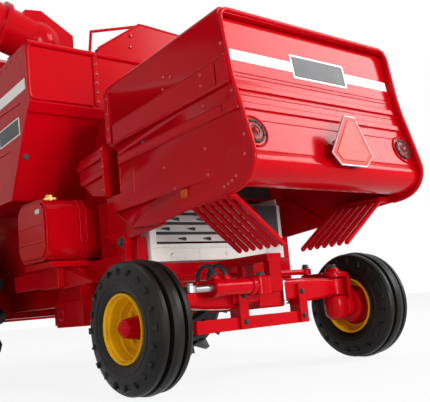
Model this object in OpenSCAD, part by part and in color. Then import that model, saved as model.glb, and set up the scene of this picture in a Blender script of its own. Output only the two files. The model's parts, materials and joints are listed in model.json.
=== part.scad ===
// Scale model of a grain combine harvester, one sixteenth of full size, in millimetres.
// X points to the machine's left, Y to its rear and Z up, with the ground at zero.
// Inside the modules Y counts from the front axle; place() moves it to the middle of the length.

/* [Wheels] */
// Distance from the front axle to the rear axle
wheelbase = 200; // [180:1:220]
// Radius of a drive tyre over its lugs
drive_r = 52; // [46:0.5:58]
// Width of a drive tyre
drive_w = 36; // [28:0.5:40]
// Distance between the drive tyres' centres
drive_track = 180; // [174:1:200]
// Height of the drive lugs
lug_h = 4.5; // [2:0.1:6]
// Lugs on each half of a drive tyre
lug_count = 16; // [12:1:22]
// Radius of a steered tyre
steer_r = 30; // [26:0.5:33]
// Width of a steered tyre
steer_w = 18; // [14:0.5:20]
// Distance between the steered tyres' centres
steer_track = 152; // [146:1:160]

/* [Body] */
// Width over the straw hood
hood_w = 118.4; // [112:0.2:124]
// Thickness of the hood's sheet
sheet = 2; // [1.6:0.1:3]
// Height of the body's top deck
deck_z = 150; // [140:1:156]
// Height of the body's underside
belly_z = 56; // [52:1:60]
// Height of the raised bands on the hood's sides
band_h = 0.9; // [0.4:0.1:1.6]
// Rods in each windrow comb
finger_count = 8; // [5:1:12]
// Radius of a windrow rod
finger_r = 0.9; // [0.6:0.1:1.4]
// Louvres in the cleaning shoe
louvre_count = 4; // [2:1:6]

/* [Grain tank] */
// Width of the grain tank
tank_w = 168; // [150:1:190]
// Height of the tank's rear rim
rim_z = 190; // [182:1:200]
// Height of the tank's front rim
front_rim_z = 174; // [168:1:190]
// Thickness of the tank's walls
tank_wall = 2; // [1.5:0.1:3]
// Radius of the unloading tube
unload_r = 13.5; // [9:0.5:15]
// Rise of the unloading tube in degrees
unload_rise = 16.5; // [14:0.5:20]
// Reach of the unloading tube from its turret
unload_reach = 144; // [110:1:148]

/* [Cab] */
// Width of the cab
cab_w = 88; // [76:1:92]
// Length of the cab
cab_l = 82; // [70:1:84]
// Height of the cab without its roof
cab_h = 90; // [80:1:100]
// Thickness of the cab's walls and door
cab_wall = 3; // [2:0.1:4]

/* [Header] */
// Width of the header
header_w = 458; // [420:2:480]
// Radius of the reel over its tines
reel_r = 33; // [28:0.5:35]
// Bats on the reel
bat_count = 6; // [4:1:8]
// Radius of the header auger over its flights
auger_r = 16; // [13:0.5:17]
// Pitch of the header auger's flights
auger_pitch = 36; // [28:1:48]
// Distance between the knife guards
guard_pitch = 9.5; // [6:0.5:14]
// Distance between the reel tines
tine_pitch = 9; // [6:0.5:14]
// Angle that the header is carried at, above its working height
carry_lift = 22; // [0:1:24]

/* [Hidden] */
$fn = 48;
running = 0.05;
gap = 0.3;

hood_half = hood_w / 2;
body_half = hood_half - sheet;
tank_half = tank_w / 2;
header_half = header_w / 2;
drive_x = drive_track / 2;
steer_x = steer_track / 2;
rear_y = wheelbase;

pivot_y = -46;
pivot_z = 96;

// Ends of the model along Y, which set its middle
nose_y = -212;
front_y = pivot_y + (nose_y - pivot_y) * cos(carry_lift) + (5 - pivot_z) * sin(carry_lift);
tail_y = rear_y + 68;
middle_y = (front_y + tail_y) / 2;

// Fuel tank: its ends along Y and Z
fuel_y0 = 97;
fuel_y1 = 130;
fuel_z0 = 68;
fuel_z1 = 100;

// Straw hood: side outline as [y, z], clockwise from the front's foot
hood_front = rear_y - 41;
hood_side = [
    [hood_front, 88.4], [hood_front, 96.4], [hood_front + 8.4, 96.8], [hood_front + 8.4, 117],
    [hood_front + 5, 121.5], [hood_front, 122.4], [hood_front, 152], [hood_front + 2, 154.7],
    [rear_y + 51.5, 163.2], [rear_y + 56.2, 131], [rear_y + 60.6, 114.5], [rear_y + 65, 97.5],
    [rear_y + 63.8, 91.5], [rear_y + 58, 85], [rear_y + 52, 82.6], [rear_y + 23, 80.2],
    [rear_y + 6, 78.2], [rear_y - 4, 76.8], [hood_front + 17, 77.7]
];
// Pressed fold at the hood's lower front corner
hood_fold = [[hood_front + 2, 88], [rear_y - 1, 89.3], [hood_front + 17, 79]];
// Housing that stands out from the body's side, and the recess round it, as [y, z]
recess_x = 38;
side_box = [[rear_y - 70, 109.5], [rear_y - 70, 120.5], [hood_front - 2.5, 124], [hood_front - 2.5, 96.8], [rear_y - 57.5, 99.4]];
side_box_x = 60.5;
deep_recess = [[95.5, 66], [95.5, 107.9], [107.5, 131], [118.5, deck_z + 1], [hood_front - 2, deck_z + 1],
    [hood_front - 2, 97], [fuel_y1 + 1.5, 97], [fuel_y1 + 1.5, 66]];
shallow_recess = [[fuel_y1 + 1.4, 66], [fuel_y1 + 1.4, 97.1], [hood_front - 1.9, 97.1], [hood_front - 1.9, 66]];
// Rear panel: outer line and its inner copy as [y, z], top to bottom
panel_out = [
    [rear_y + 48.9, 160.2], [rear_y + 53.2, 131], [rear_y + 57.6, 114.5], [rear_y + 62, 97.5],
    [rear_y + 61, 93], [rear_y + 56, 87.6], [rear_y + 51, 85.2]
];
panel_in = [
    [rear_y + 46.9, 160], [rear_y + 51.2, 130.7], [rear_y + 55.6, 114.2], [rear_y + 59.8, 97.8],
    [rear_y + 59.2, 94.2], [rear_y + 54.8, 89.3], [rear_y + 50.4, 87.1]
];
// Raised bands on the hood's sides as [y, z]
side_bands = [
    [[hood_front + 6, 122.3], [hood_front + 6, 132.7], [rear_y + 48, 139.6], [rear_y + 48, 127.6]],
    [[hood_front + 9, 111.2], [hood_front + 9, 115.3], [rear_y + 50, 119.9], [rear_y + 50, 115.1]]
];

lamp_x = 51.9;
lamp_z = 106.3;
panel_lean = atan2(4.4, 17);
triangle_y = tail_y;
triangle_x = -4;

// Windrow rods: root and tip as [x, z], and the first and last rod's place along Y
finger_root = [52, 83.5];
finger_tip = [22.5, 61.5];
finger_y0 = rear_y + 14;
finger_y1 = rear_y + 40;

shoe_half = 47.5;
shoe_y = rear_y - 27;
shoe_z = 61;
shoe_top = 92;
bay_y = 134;

tank_y0 = 22;
tank_y1 = rear_y - 78;
saddle = [[tank_y0, 112], [34, 105], [94, 105], [107.5, 131], [119, 152], [tank_y0, 152]];
saddle_in = [[tank_y0 + 2, 113.5], [35, 107], [92.7, 107], [105.5, 131.5], [117, 153], [tank_y0 + 2, 153]];

turret = [tank_half - 24, tank_y1 - 37];
elevator_y = tank_y1 - 28;
turret_z = 190;
unload_z = 205;
unload_len = unload_reach / cos(unload_rise);

platform_z = 112;
platform_t = 6;
cab_x = 22;
cab_y0 = -66;
cab_z = platform_z + platform_t;
cab_x0 = cab_x - cab_w / 2;
cab_x1 = cab_x + cab_w / 2;
cab_y1 = cab_y0 + cab_l;
cab_top = cab_z + cab_h;
door_y0 = cab_y0 + 6;
door_y1 = cab_y0 + 56;
door_z0 = cab_z + 4;
door_z1 = cab_top - 6;

nose_r = 13;
feeder_t = 12.4;
feeder_half = 33;
feeder_len = 97;
feeder_fall = 40.6;

header_y = -122;
header_floor = 7;
header_top = 58;
auger_y = -140;
auger_z = 26;
auger_tube_r = 9;
reel_y = -177;
reel_z = 67;
reel_shaft_r = 2.5;
knife_y = -172;

lift_x = 26;
lift_a = [-13, 46];
lift_e = [-80, 43];
lift_barrel = 50;
lift_in = 20;
lift_up = [
    pivot_y + (lift_e[0] - pivot_y) * cos(carry_lift) + (lift_e[1] - pivot_z) * sin(carry_lift),
    pivot_z - (lift_e[0] - pivot_y) * sin(carry_lift) + (lift_e[1] - pivot_z) * cos(carry_lift)
];
lift_short = norm(lift_e - lift_a);
lift_len = norm(lift_up - lift_a);
lift_turn = atan2(lift_up[1] - lift_a[1], lift_a[0] - lift_up[0]);

spindle_r = 5;
hub_in = 68;
hub_out = 96;
king_x = 57;
king_r = 2.5;
steer_spindle_r = 3.5;
arm_z = 46.3;
arm_t = 3;
tie_y = rear_y - 20;
cyl_y = rear_y + 14;
cyl_z = 44.5;
hose_bend = 6.5;
hose_z = 48.7;

module place() {
    translate([0, -middle_y, 0])
        children();
}

// Header pieces are drawn at working height and carried up about the feeder's pivot
module lifted() {
    place()
        translate([0, pivot_y, pivot_z])
            rotate([-carry_lift, 0, 0])
                translate([0, -pivot_y, -pivot_z])
                    children();
}

// A flat outline drawn as [y, z] and drawn out along X
module along_x(x0, x1) {
    translate([x0, 0, 0])
        rotate([90, 0, 90])
            linear_extrude(x1 - x0)
                children();
}

// A flat outline drawn as [x, z] and drawn out along Y
module along_y(y0, y1) {
    translate([0, y1, 0])
        rotate([90, 0, 0])
            linear_extrude(y1 - y0)
                children();
}

module block(lo, hi) {
    translate(lo)
        cube(hi - lo);
}

module rod(a, b, r) {
    d = b - a;
    translate(a)
        rotate([0, acos(d[2] / norm(d)), atan2(d[1], d[0])])
            cylinder(h = norm(d), r = r);
}

module shaft_x(x0, x1, y, z, r) {
    translate([x0, y, z])
        rotate([0, 90, 0])
            cylinder(h = x1 - x0, r = r);
}

module both() {
    children();
    mirror([1, 0, 0])
        children();
}

// A profile drawn as [radius, along the axle], turned about the X axis through y and z
module turned_x(x, y, z, side) {
    translate([x, y, z])
        rotate([0, side * 90, 0])
            rotate_extrude($fn = 96)
                children();
}

module frame_rails() {
    color("firebrick")
    place() {
        both()
            block([44, 9, 44], [50, rear_y - 26, belly_z]);
        for (y = [40, 96, 150])
            block([-44, y, 46], [44, y + 6, 54]);
        block([-50, rear_y - 32, 50], [50, rear_y - 26, 60]);
        both()
            block([shoe_half + 0.9, hood_front + 6, 44], [54, hood_front + 12, 74]);
        block([-5, rear_y - 32, 56], [5, rear_y + 12, 60]);
        for (y = [rear_y - 12, rear_y + 8])
            block([-4, y, 41], [4, y + 4, 60]);
        both()
            block([50, 97, 32], [62, 127, 46]);
        block([-44, 60, 33], [44, 90, 46]);
    }
}

module drive_axle() {
    color("firebrick")
    place() {
        block([-58, -9, 40], [58, 9, belly_z]);
        both() {
            block([57.2, -13, 38], [hub_in - gap, 13, 68]);
            shaft_x(hub_in - gap - 1, hub_out - 8, 0, drive_r, spindle_r);
        }
        both()
            for (s = [-5, 5])
                difference() {
                    block([lift_x + s - 1.5, lift_a[0] - 4, lift_a[1] - 4], [lift_x + s + 1.5, -9, lift_a[1] + 4]);
                    shaft_x(lift_x + s - 2, lift_x + s + 2, lift_a[0], lift_a[1], 2 + running);
                }
    }
}

module separator_body() {
    color("red")
    place()
    difference() {
        union() {
            along_x(-body_half, body_half)
                polygon([[-30, belly_z], [-40, 66], [-40, 104], [-30, platform_z], [20, platform_z],
                    [20, deck_z], [hood_front + 6, deck_z], [hood_front + 6, belly_z]]);
            both()
                block([feeder_half + 2, pivot_y - 6, pivot_z - 7], [feeder_half + 7, -38, pivot_z + 7]);
            both()
                along_x(body_half - 1, side_box_x)
                    polygon(side_box);
            both()
                for (z = [107, 116])
                    along_x(side_box_x - 1, side_box_x + 1.5)
                        polygon([[rear_y - 70, z + 1.5], [hood_front - 2.5, z + 4.5], [hood_front - 2.5, z + 1.5], [rear_y - 70, z - 1.5]]);
            both()
                block([side_box_x - 1, hood_front - 4.5, 97.5], [side_box_x + 1.2, hood_front - 2.5, 123.5]);
        }
        shaft_x(-feeder_half - 1, feeder_half + 1, pivot_y, pivot_z, nose_r + 0.6);
        shaft_x(-feeder_half - 9, feeder_half + 9, pivot_y, pivot_z, 3 + running);
        block([-shoe_half - 0.6, bay_y, belly_z - 1], [shoe_half + 0.6, hood_front + 7, 96]);
        both()
            along_x(recess_x, tank_half)
                difference() {
                    polygon(deep_recess);
                    polygon(side_box);
                }
        both()
            along_x(body_half - 6, tank_half)
                difference() {
                    polygon(shallow_recess);
                    polygon(side_box);
                }
        both()
            block([recess_x, hood_front - 2.5, 97], [tank_half, hood_front + 7, 121]);
    }
}

module straw_hood() {
    color("red")
    place() {
        both()
            difference() {
                along_x(body_half, hood_half)
                    polygon(hood_side);
                along_x(hood_half - 1.2, hood_half + 1)
                    polygon(hood_fold);
            }
        both()
            for (band = side_bands)
                along_x(hood_half - 0.5, hood_half + band_h)
                    polygon(band);
        along_x(-body_half, body_half)
            polygon([[hood_front, deck_z], [hood_front, 152], [hood_front + 2, 154.7], [rear_y + 51.5, 163.2],
                [rear_y + 51.7, 161], [hood_front + 3, 152.4], [hood_front + 2, deck_z]]);
        both()
            block([hood_half - 0.2, hood_front, 123.5], [hood_half + 1.2, hood_front + 4, 151]);
    }
}

module rear_panel() {
    color("red")
    place() {
        along_x(-body_half, body_half)
            polygon(concat(panel_out, [for (i = [len(panel_in) - 1:-1:0]) panel_in[i]]));
        for (z = [116, 125])
            along_x(-body_half + 2, body_half - 2)
                polygon([panel_at(z + 4.5, -1), panel_at(z + 3.6, 1), panel_at(z + 0.9, 1), panel_at(z, -1)]);
    }
}

// A point on the rear panel at height z, standing out by d
function panel_at(z, d) = [rear_y + 57.6 + (114.5 - z) * 4.4 / 17 + d, z];

// Stands a lamp on the rear panel, square to its slope
module on_panel() {
    translate([lamp_x, panel_at(lamp_z, 0.05)[0], lamp_z])
        rotate([panel_lean - 90, 0, 0])
            children();
}

module lamp_bezels() {
    color("dimgray")
    place()
        both()
            on_panel()
                difference() {
                    cylinder(h = 2.2, r = 5.3);
                    translate([0, 0, 0.9])
                        cylinder(h = 2, r = 4.4);
                }
}

module lamp_lenses() {
    color("darkred")
    place()
        both()
            on_panel()
                translate([0, 0, 0.95])
                    cylinder(h = 1, r = 4.35);
}

module slow_triangle() {
    color("tomato")
    place() {
        along_y(triangle_y - 1.2, triangle_y)
            polygon([[triangle_x - 15, 97], [triangle_x - 12, 93.5], [triangle_x + 12, 93.5], [triangle_x + 15, 97],
                [triangle_x + 4, 118], [triangle_x - 4, 118]]);
        block([triangle_x - 3, rear_y + 62, 98], [triangle_x + 6, triangle_y - 1.2, 106]);
    }
}

module windrow_fingers() {
    color("red")
    place()
        both() {
            block([finger_root[0] - 2, finger_y0 - 3, finger_root[1] - 1.6], [body_half, finger_y1 + 3, finger_root[1] + 1.6]);
            for (i = [0:finger_count - 1]) {
                y = finger_y0 + (finger_y1 - finger_y0) * i / (finger_count - 1);
                rod([finger_root[0], y, finger_root[1]], [finger_tip[0], y - 1.5, finger_tip[1]], finger_r);
            }
        }
}

module cleaning_shoe() {
    color("gainsboro")
    place() {
        both()
            block([shoe_half - 1, bay_y, shoe_z], [shoe_half, shoe_y - 2, 96]);
        both()
            block([shoe_half - 4, shoe_y - 2, shoe_z], [shoe_half, shoe_y, shoe_top]);
        block([-shoe_half, shoe_y - 3, shoe_z], [shoe_half, shoe_y, shoe_z + 9]);
        block([-shoe_half, bay_y, shoe_z], [shoe_half, shoe_y - 3, shoe_z + 1.5]);
        for (i = [0:louvre_count - 1])
            translate([0, shoe_y - 2 - 2.4 * i, shoe_z + 10.5 + 5.6 * i])
                rotate([-56, 0, 0])
                    block([-shoe_half + 0.5, -7.6, -0.5], [shoe_half - 0.5, 0, 0.5]);
    }
}

module grain_tank() {
    color("red")
    place()
    difference() {
        union() {
            along_x(-tank_half, tank_half)
                polygon([[tank_y0, deck_z], [tank_y0, front_rim_z], [tank_y1, rim_z], [tank_y1, 155], [119, deck_z]]);
            both()
                along_x(body_half, tank_half)
                    polygon(saddle);
            shaft_x(-tank_half, tank_half, tank_y1, rim_z - 1.6, 1.6);
            for (x = [-41.6, 41.6])
                block([x - 1.4, tank_y1 - 1, 157], [x + 1.4, tank_y1 + 0.9, rim_z - 2]);
        }
        block([-tank_half + tank_wall, tank_y0 + tank_wall, deck_z + 2], [tank_half - tank_wall, tank_y1 - tank_wall, 260]);
        both()
            along_x(body_half + tank_wall, tank_half - tank_wall)
                polygon(saddle_in);
    }
}

module tank_gable() {
    color("red")
    place() {
        along_y(tank_y1 - 6, tank_y1 - tank_wall)
            polygon([[37, 170], [37, 194], [6, 215], [-1, 214.7], [-70, 211], [-82, 200], [-82, 170]]);
        block([41.5, tank_y1 - 5.5, 178], [44.5, tank_y1 - tank_wall, 186]);
        rod([43, tank_y1 - 4, 182], [40, tank_y1 - 4, 204.5], 0.9);
        translate([40, tank_y1 - 4, 204.5])
            sphere(r = 0.9);
        rod([40, tank_y1 - 4, 204.5], [6, tank_y1 - 4, 214.4], 0.9);
    }
}

module unload_turret() {
    color("red")
    place()
        translate([turret[0], turret[1], deck_z + 2]) {
            cylinder(h = turret_z - deck_z - 2, r = 14);
            translate([0, 0, turret_z - deck_z - 6])
                cylinder(h = 4, r = 17);
        }
}

module unload_tube() {
    color("red")
    place()
        translate([turret[0], turret[1], 0]) {
            translate([0, 0, turret_z + gap])
                cylinder(h = 4, r = 17);
            translate([0, 0, turret_z + gap])
                cylinder(h = unload_z - turret_z, r = 14);
            translate([0, 0, unload_z])
                sphere(r = 14.6);
            along_y(-9, 9)
                polygon([[-21.5, 201], [-21.5, 210.8], [-0.5, 223], [10, 221.6], [14, 206], [0, 201]]);
            translate([0, 0, unload_z])
                rotate([0, 90 - unload_rise, 0])
                    cylinder(h = unload_len, r = unload_r);
            translate([0, 0, unload_z])
                rotate([0, 90 - unload_rise, 0])
                    translate([0, 0, 22])
                        cylinder(h = 3, r = unload_r + 2);
        }
}

module unload_spout() {
    color("black")
    place()
        translate([turret[0], turret[1], unload_z])
            rotate([0, 90 - unload_rise, 0])
                translate([0, 0, unload_len])
                    difference() {
                        rotate([0, unload_rise + 8, 0])
                            translate([0, 0, -4])
                                cylinder(h = 20, r = unload_r + 0.5);
                        translate([-30, -30, -30])
                            cube([60, 60, 30]);
                    }
}

module clean_grain_elevator() {
    color("red")
    place() {
        block([-tank_half - 13, elevator_y - 10, 54], [-tank_half, elevator_y + 10, 204]);
        shaft_x(-tank_half - 13, -tank_half, elevator_y, 204, 10);
        shaft_x(-tank_half - 13, -tank_half, elevator_y, 54, 10);
        shaft_x(-tank_half - 1, -body_half, elevator_y, 64, 8);
        shaft_x(-tank_half - 1, 4, elevator_y + 6, 203, 9);
    }
}

// Section of the fuel tank, drawn larger by d
module fuel_section(d) {
    translate([(fuel_y0 + fuel_y1) / 2, (fuel_z0 + fuel_z1) / 2])
        intersection() {
            circle(r = 19.6 + d);
            square([fuel_y1 - fuel_y0 + 2 * d, fuel_z1 - fuel_z0 + 2 * d], center = true);
        }
}

module fuel_tank() {
    color("firebrick")
    place() {
        along_x(recess_x + 2, 82)
            fuel_section(0);
        along_x(81.5, 83)
            fuel_section(-1.4);
        along_x(58.5, 62.5)
            fuel_section(0.6);
    }
}

module fuel_cap() {
    color("goldenrod")
    place()
        translate([70, 112, 100])
            cylinder(h = 3.4, r = 3.2);
}

module fuel_bracket() {
    color("firebrick")
    place() {
        block([body_half, 98, 64], [80, 128, 67.2]);
        block([50, 100, 46], [body_half + 4, 124, belly_z]);
        block([body_half, 100, 46], [body_half + 4, 124, 64]);
        block([body_half + 4, 62, 55], [70, 123, 64]);
        block([body_half + 3, 103, 53.5], [73, 122, 64.5]);
        along_x(66, 70)
            polygon([[122, 53], [154, 53.5], [122, 64]]);
    }
}

module platform() {
    color("dimgray")
    place() {
        block([-tank_half - 2, cab_y0 - 2, platform_z], [104, 20, cab_z]);
        for (x = [78, 100])
            rod([x, cab_y0 - 4, cab_z - 1], [x, cab_y0 - 14, 34], 1.6);
        for (i = [0:5])
            rod([78, cab_y0 - 14 + 1.7 * i, 38 + 14 * i], [100, cab_y0 - 14 + 1.7 * i, 38 + 14 * i], 1.6);
        block([75, cab_y0 - 6, platform_z], [103, cab_y0, cab_z]);
    }
}

module handrails() {
    color("red")
    place() {
        for (x = [76, 102])
            rod([x, cab_y0, cab_z], [x, cab_y0, cab_z + 40], 1.2);
        for (y = [-2, 17])
            rod([102, y, cab_z], [102, y, cab_z + 36], 1.2);
        rod([102, -2, cab_z + 36], [102, 17, cab_z + 36], 1.2);
        rod([102, -2, cab_z + 18], [102, 17, cab_z + 18], 1.2);
    }
}

module cab_body() {
    color("red")
    place()
    difference() {
        block([cab_x0, cab_y0, cab_z], [cab_x1, cab_y1, cab_top]);
        block([cab_x0 + cab_wall, cab_y0 + cab_wall, cab_z + 4], [cab_x1 - cab_wall, cab_y1 - cab_wall, cab_top + 1]);
        block([cab_x0 + 6, cab_y0 - 1, cab_z + 14], [cab_x1 - 6, cab_y0 + 5, cab_top - 5]);
        block([cab_x0 + 6, cab_y1 - 5, cab_z + 34], [cab_x1 - 6, cab_y1 + 1, cab_top - 8]);
        block([cab_x0 - 1, cab_y0 + 6, cab_z + 24], [cab_x0 + 5, cab_y1 - 8, cab_top - 6]);
        block([cab_x1 - 5, door_y0 - gap, door_z0 - gap], [cab_x1 + 1, door_y1 + gap, door_z1 + gap]);
        block([cab_x1 - 5, door_y1 + 5, cab_z + 34], [cab_x1 + 1, cab_y1 - 5, cab_top - 8]);
    }
}

module cab_roof() {
    color("red")
    place() {
        along_x(cab_x0 - 3, cab_x1 + 3)
            polygon([[cab_y0 - 8, cab_top], [cab_y0 - 6, cab_top + 9], [cab_y0 + 4, cab_top + 14],
                [cab_y1 - 6, cab_top + 14], [cab_y1 + 2, cab_top + 9], [cab_y1 + 2, cab_top]]);
        for (x = [cab_x0 + 8, cab_x0 + 24, cab_x1 - 24, cab_x1 - 8])
            translate([x, cab_y0 - 4, cab_top + 5.5])
                rotate([90, 0, 0])
                    cylinder(h = 6, r = 4);
    }
}

module cab_glass() {
    color("lightblue", 0.4)
    place() {
        block([cab_x0 + 6, cab_y0 + 1, cab_z + 14], [cab_x1 - 6, cab_y0 + 2.2, cab_top - 5]);
        block([cab_x0 + 6, cab_y1 - 2.2, cab_z + 34], [cab_x1 - 6, cab_y1 - 1, cab_top - 8]);
        block([cab_x0 + 1, cab_y0 + 6, cab_z + 24], [cab_x0 + 2.2, cab_y1 - 8, cab_top - 6]);
        block([cab_x1 - 2.2, door_y1 + 5, cab_z + 34], [cab_x1 - 1, cab_y1 - 5, cab_top - 8]);
    }
}

module cab_door() {
    color("red")
    place() {
        difference() {
            block([cab_x1 - cab_wall, door_y0, door_z0], [cab_x1, door_y1, door_z1]);
            block([cab_x1 - 5, door_y0 + 4, door_z0 + 26], [cab_x1 + 1, door_y1 - 4, door_z1 - 4]);
        }
        block([cab_x1, door_y0 + 3, door_z0 + 16], [cab_x1 + 2, door_y0 + 11, door_z0 + 18]);
    }
}

module door_glass() {
    color("lightblue", 0.4)
    place()
        block([cab_x1 - 2.2, door_y0 + 4, door_z0 + 26], [cab_x1 - 1, door_y1 - 4, door_z1 - 4]);
}

module driver_seat() {
    color("black")
    place() {
        block([cab_x - 8, cab_y0 + 42, cab_z + 4], [cab_x + 8, cab_y0 + 56, cab_z + 20]);
        block([cab_x - 14, cab_y0 + 36, cab_z + 20], [cab_x + 14, cab_y0 + 62, cab_z + 26]);
        block([cab_x - 14, cab_y0 + 57, cab_z + 26], [cab_x + 14, cab_y0 + 62, cab_z + 52]);
    }
}

module steering_column() {
    color("dimgray")
    place() {
        rod([cab_x, cab_y0 + 18, cab_z + 4.6], [cab_x, cab_y0 + 26, cab_z + 38], 2);
        translate([cab_x, cab_y0 + 26, cab_z + 38])
            rotate([13 + 20, 0, 0])
                rotate_extrude()
                    translate([10, 0])
                        circle(r = 1.2);
        for (a = [0, 120, 240])
            translate([cab_x, cab_y0 + 26, cab_z + 38])
                rotate([33, 0, 0])
                    rotate([0, 0, a])
                        rod([0, 0, 0], [10, 0, 0], 1);
    }
}

module engine_house() {
    color("red")
    place()
    difference() {
        block([-tank_half, -44, cab_z], [-28, 18, 182]);
        for (i = [0:6])
            block([-76, -45, cab_z + 14 + 6 * i], [-36, -42, cab_z + 17 + 6 * i]);
        shaft_x(-tank_half - 1, -tank_half + 3, -13, 150, 25);
    }
}

module rotary_screen() {
    color("dimgray")
    place() {
        shaft_x(-tank_half - 4, -tank_half + 3, -13, 150, 24.5);
        shaft_x(-tank_half - 6, -tank_half - 3, -13, 150, 5);
    }
}

module exhaust() {
    color("dimgray")
    place() {
        translate([-50, -30, 182])
            cylinder(h = 26, r = 6);
        translate([-50, -30, 207])
            cylinder(h = 22, r = 2.6);
        translate([-70, -26, 182])
            cylinder(h = 20, r = 8);
    }
}

module axle_beam() {
    color("firebrick")
    place()
    difference() {
        union() {
            block([-26, rear_y - 7.6, 36], [26, rear_y + 7.6, 47]);
            block([-9, rear_y - 7.6, 33], [9, rear_y + 7.6, 49]);
            both()
                along_y(rear_y - 5, rear_y + 5)
                    polygon([[24, 34], [24, 47], [king_x, 45.7], [king_x, 36.3]]);
            both()
                translate([king_x, rear_y, 36.3])
                    cylinder(h = 9.4, r = 5);
            block([8, rear_y + 7, 40], [18, cyl_y + 4, 49]);
            block([32, cyl_y - 2 * hose_bend - 2.2, 45], [44.5, cyl_y - 2 * hose_bend + 2.2, hose_z - 0.2]);
        }
        both()
            translate([king_x, rear_y, 30])
                cylinder(h = 20, r = king_r + running);
    }
}

module hitch_bar() {
    color("firebrick")
    place()
    difference() {
        union() {
            block([-24, rear_y + 2, 24], [50, rear_y + 8, 30]);
            for (x = [-23.8, 18.1]) {
                block([x, rear_y + 2, 24], [x + 5.8, rear_y + 7.6, 36]);
                block([x, rear_y + 7.6, 24], [x + 5.8, rear_y + 9.4, 44]);
            }
        }
        translate([0, rear_y + 5, 20])
            cylinder(h = 14, r = 1.5);
    }
}

module steer_barrel() {
    color("red")
    place() {
        difference() {
            shaft_x(18, 44.4, cyl_y, cyl_z, 4);
            shaft_x(20, 47, cyl_y, cyl_z, 1.6 + running);
        }
    }
}

module steer_hoses() {
    color("black")
    place()
        for (x = [35, 41.5])
            translate([x, cyl_y - hose_bend, hose_z])
                rotate([90, 0, 90])
                    rotate_extrude(angle = 180)
                        translate([hose_bend, 0])
                            circle(r = 1.1);
}

module steer_rod() {
    color("silver")
    place() {
        shaft_x(28, king_x, cyl_y, cyl_z, 1.6);
        translate([king_x, cyl_y, 43])
            cylinder(h = 3, r = 3);
        translate([king_x, cyl_y, 46])
            cylinder(h = 1.2, r = 1.8, $fn = 6);
    }
}

module knuckle(side) {
    place()
    mirror([side < 0 ? 1 : 0, 0, 0]) {
        block([52, rear_y - 6, arm_z], [66, rear_y + 6, arm_z + arm_t]);
        block([52, rear_y - 6, 32.7], [66, rear_y + 6, 35.7]);
        block([62.6, rear_y - 6, 24], [66, rear_y + 6, arm_z + arm_t]);
        translate([king_x, rear_y, 32.7])
            cylinder(h = 18, r = king_r);
        translate([king_x, rear_y, arm_z + arm_t])
            cylinder(h = 2.2, r = 3.6);
        block([king_x - 3, tie_y, arm_z], [king_x + 3, rear_y, arm_z + arm_t]);
        translate([king_x, tie_y, arm_z])
            cylinder(h = arm_t, r = 3);
        translate([king_x, tie_y, arm_z])
            cylinder(h = 7.4, r = 1.5);
        shaft_x(65, steer_x + 8, rear_y, steer_r, steer_spindle_r);
    }
}

module knuckle_l() {
    color("firebrick") {
        knuckle(1);
        place() {
            block([62.6, rear_y, 38.7], [66, cyl_y + 3, 42.7]);
            block([king_x - 3, cyl_y - 3, 38.7], [66, cyl_y + 3, 42.7]);
        }
    }
}

module knuckle_r() {
    color("firebrick")
        knuckle(-1);
}

module tie_rod() {
    color("red")
    place() {
        both()
            translate([king_x, tie_y, arm_z + arm_t + gap])
                difference() {
                    cylinder(h = 3.4, r = 3.2);
                    translate([0, 0, -1])
                        cylinder(h = 6, r = 1.5 + running);
                }
        shaft_x(-king_x + 2.6, king_x - 2.6, tie_y, arm_z + arm_t + gap + 1.7, 1.6);
    }
}

module drive_rim(side) {
    color("gold")
    place()
        turned_x(side * drive_x, 0, drive_r, side)
            polygon([[28, -15], [28, -13], [25.5, -12], [25.5, 12], [28, 13], [28, 15], [25.5, 15], [23.5, 12],
                [22.5, 3], [14, 3], [9, 8], [9, hub_out - drive_x - 1], [8, hub_out - drive_x],
                [0, hub_out - drive_x], [0, hub_out - drive_x - 8 + gap], [spindle_r + running, hub_out - drive_x - 8 + gap],
                [spindle_r + running, hub_in - drive_x], [9, hub_in - drive_x], [9, -1], [22.5, -1],
                [23.5, -12], [25.5, -15]]);
}

module drive_rim_l() {
    drive_rim(1);
}

module drive_rim_r() {
    drive_rim(-1);
}

// Half outline of a drive tyre's carcass as [radius, along the axle]
module drive_carcass() {
    w = drive_w / 2;
    c = drive_r - lug_h;
    polygon([[25.5, -12], [28, -13], [28, -15], [34, -w + 0.6], [c - 6, -w], [c - 1.6, -w + 2.4], [c, -w + 6],
        [c, w - 6], [c - 1.6, w - 2.4], [c - 6, w], [34, w - 0.6], [28, 15], [28, 13], [25.5, 12]]);
}

module drive_lug(a, side) {
    w = drive_w / 2;
    rotate([0, 0, a])
        translate([drive_r - lug_h - 5, 0, 0])
            rotate([0, 90, 0])
                rotate([0, 0, side * 28])
                    linear_extrude(lug_h + 6)
                        polygon([[side * -1.5, -2.4], [side * (w + 4), -2.4], [side * (w + 4), 2.4], [side * -1.5, 2.4]]);
}

module drive_tyre(side) {
    color("black")
    place() {
        turned_x(side * drive_x, 0, drive_r, side)
            drive_carcass();
        translate([side * drive_x, 0, drive_r])
            rotate([0, side * 90, 0])
                intersection() {
                    union() {
                        for (i = [0:lug_count - 1]) {
                            drive_lug(360 * i / lug_count, 1);
                            drive_lug(360 * (i + 0.5) / lug_count, -1);
                        }
                    }
                    rotate_extrude($fn = 96)
                        translate([drive_r - 13, -drive_w / 2])
                            square([13, drive_w]);
                }
    }
}

module drive_tyre_l() {
    drive_tyre(1);
}

module drive_tyre_r() {
    drive_tyre(-1);
}

module steer_rim(side) {
    color("gold")
    place()
        turned_x(side * steer_x, rear_y, steer_r, side)
            polygon([[17.5, -8.6], [17.5, -7.6], [15.5, -7], [15.5, 7], [17.5, 7.6], [17.5, 8.6], [15.5, 8.6], [14, 6],
                [12, 1.5], [7, 1.5], [5.5, 8], [3, 12], [0, 12], [0, 8 + gap], [steer_spindle_r + running, 8 + gap],
                [steer_spindle_r + running, -8.6], [6, -8.6], [6, -1], [12.5, -1], [14, -6], [15.5, -8.6]]);
}

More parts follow.
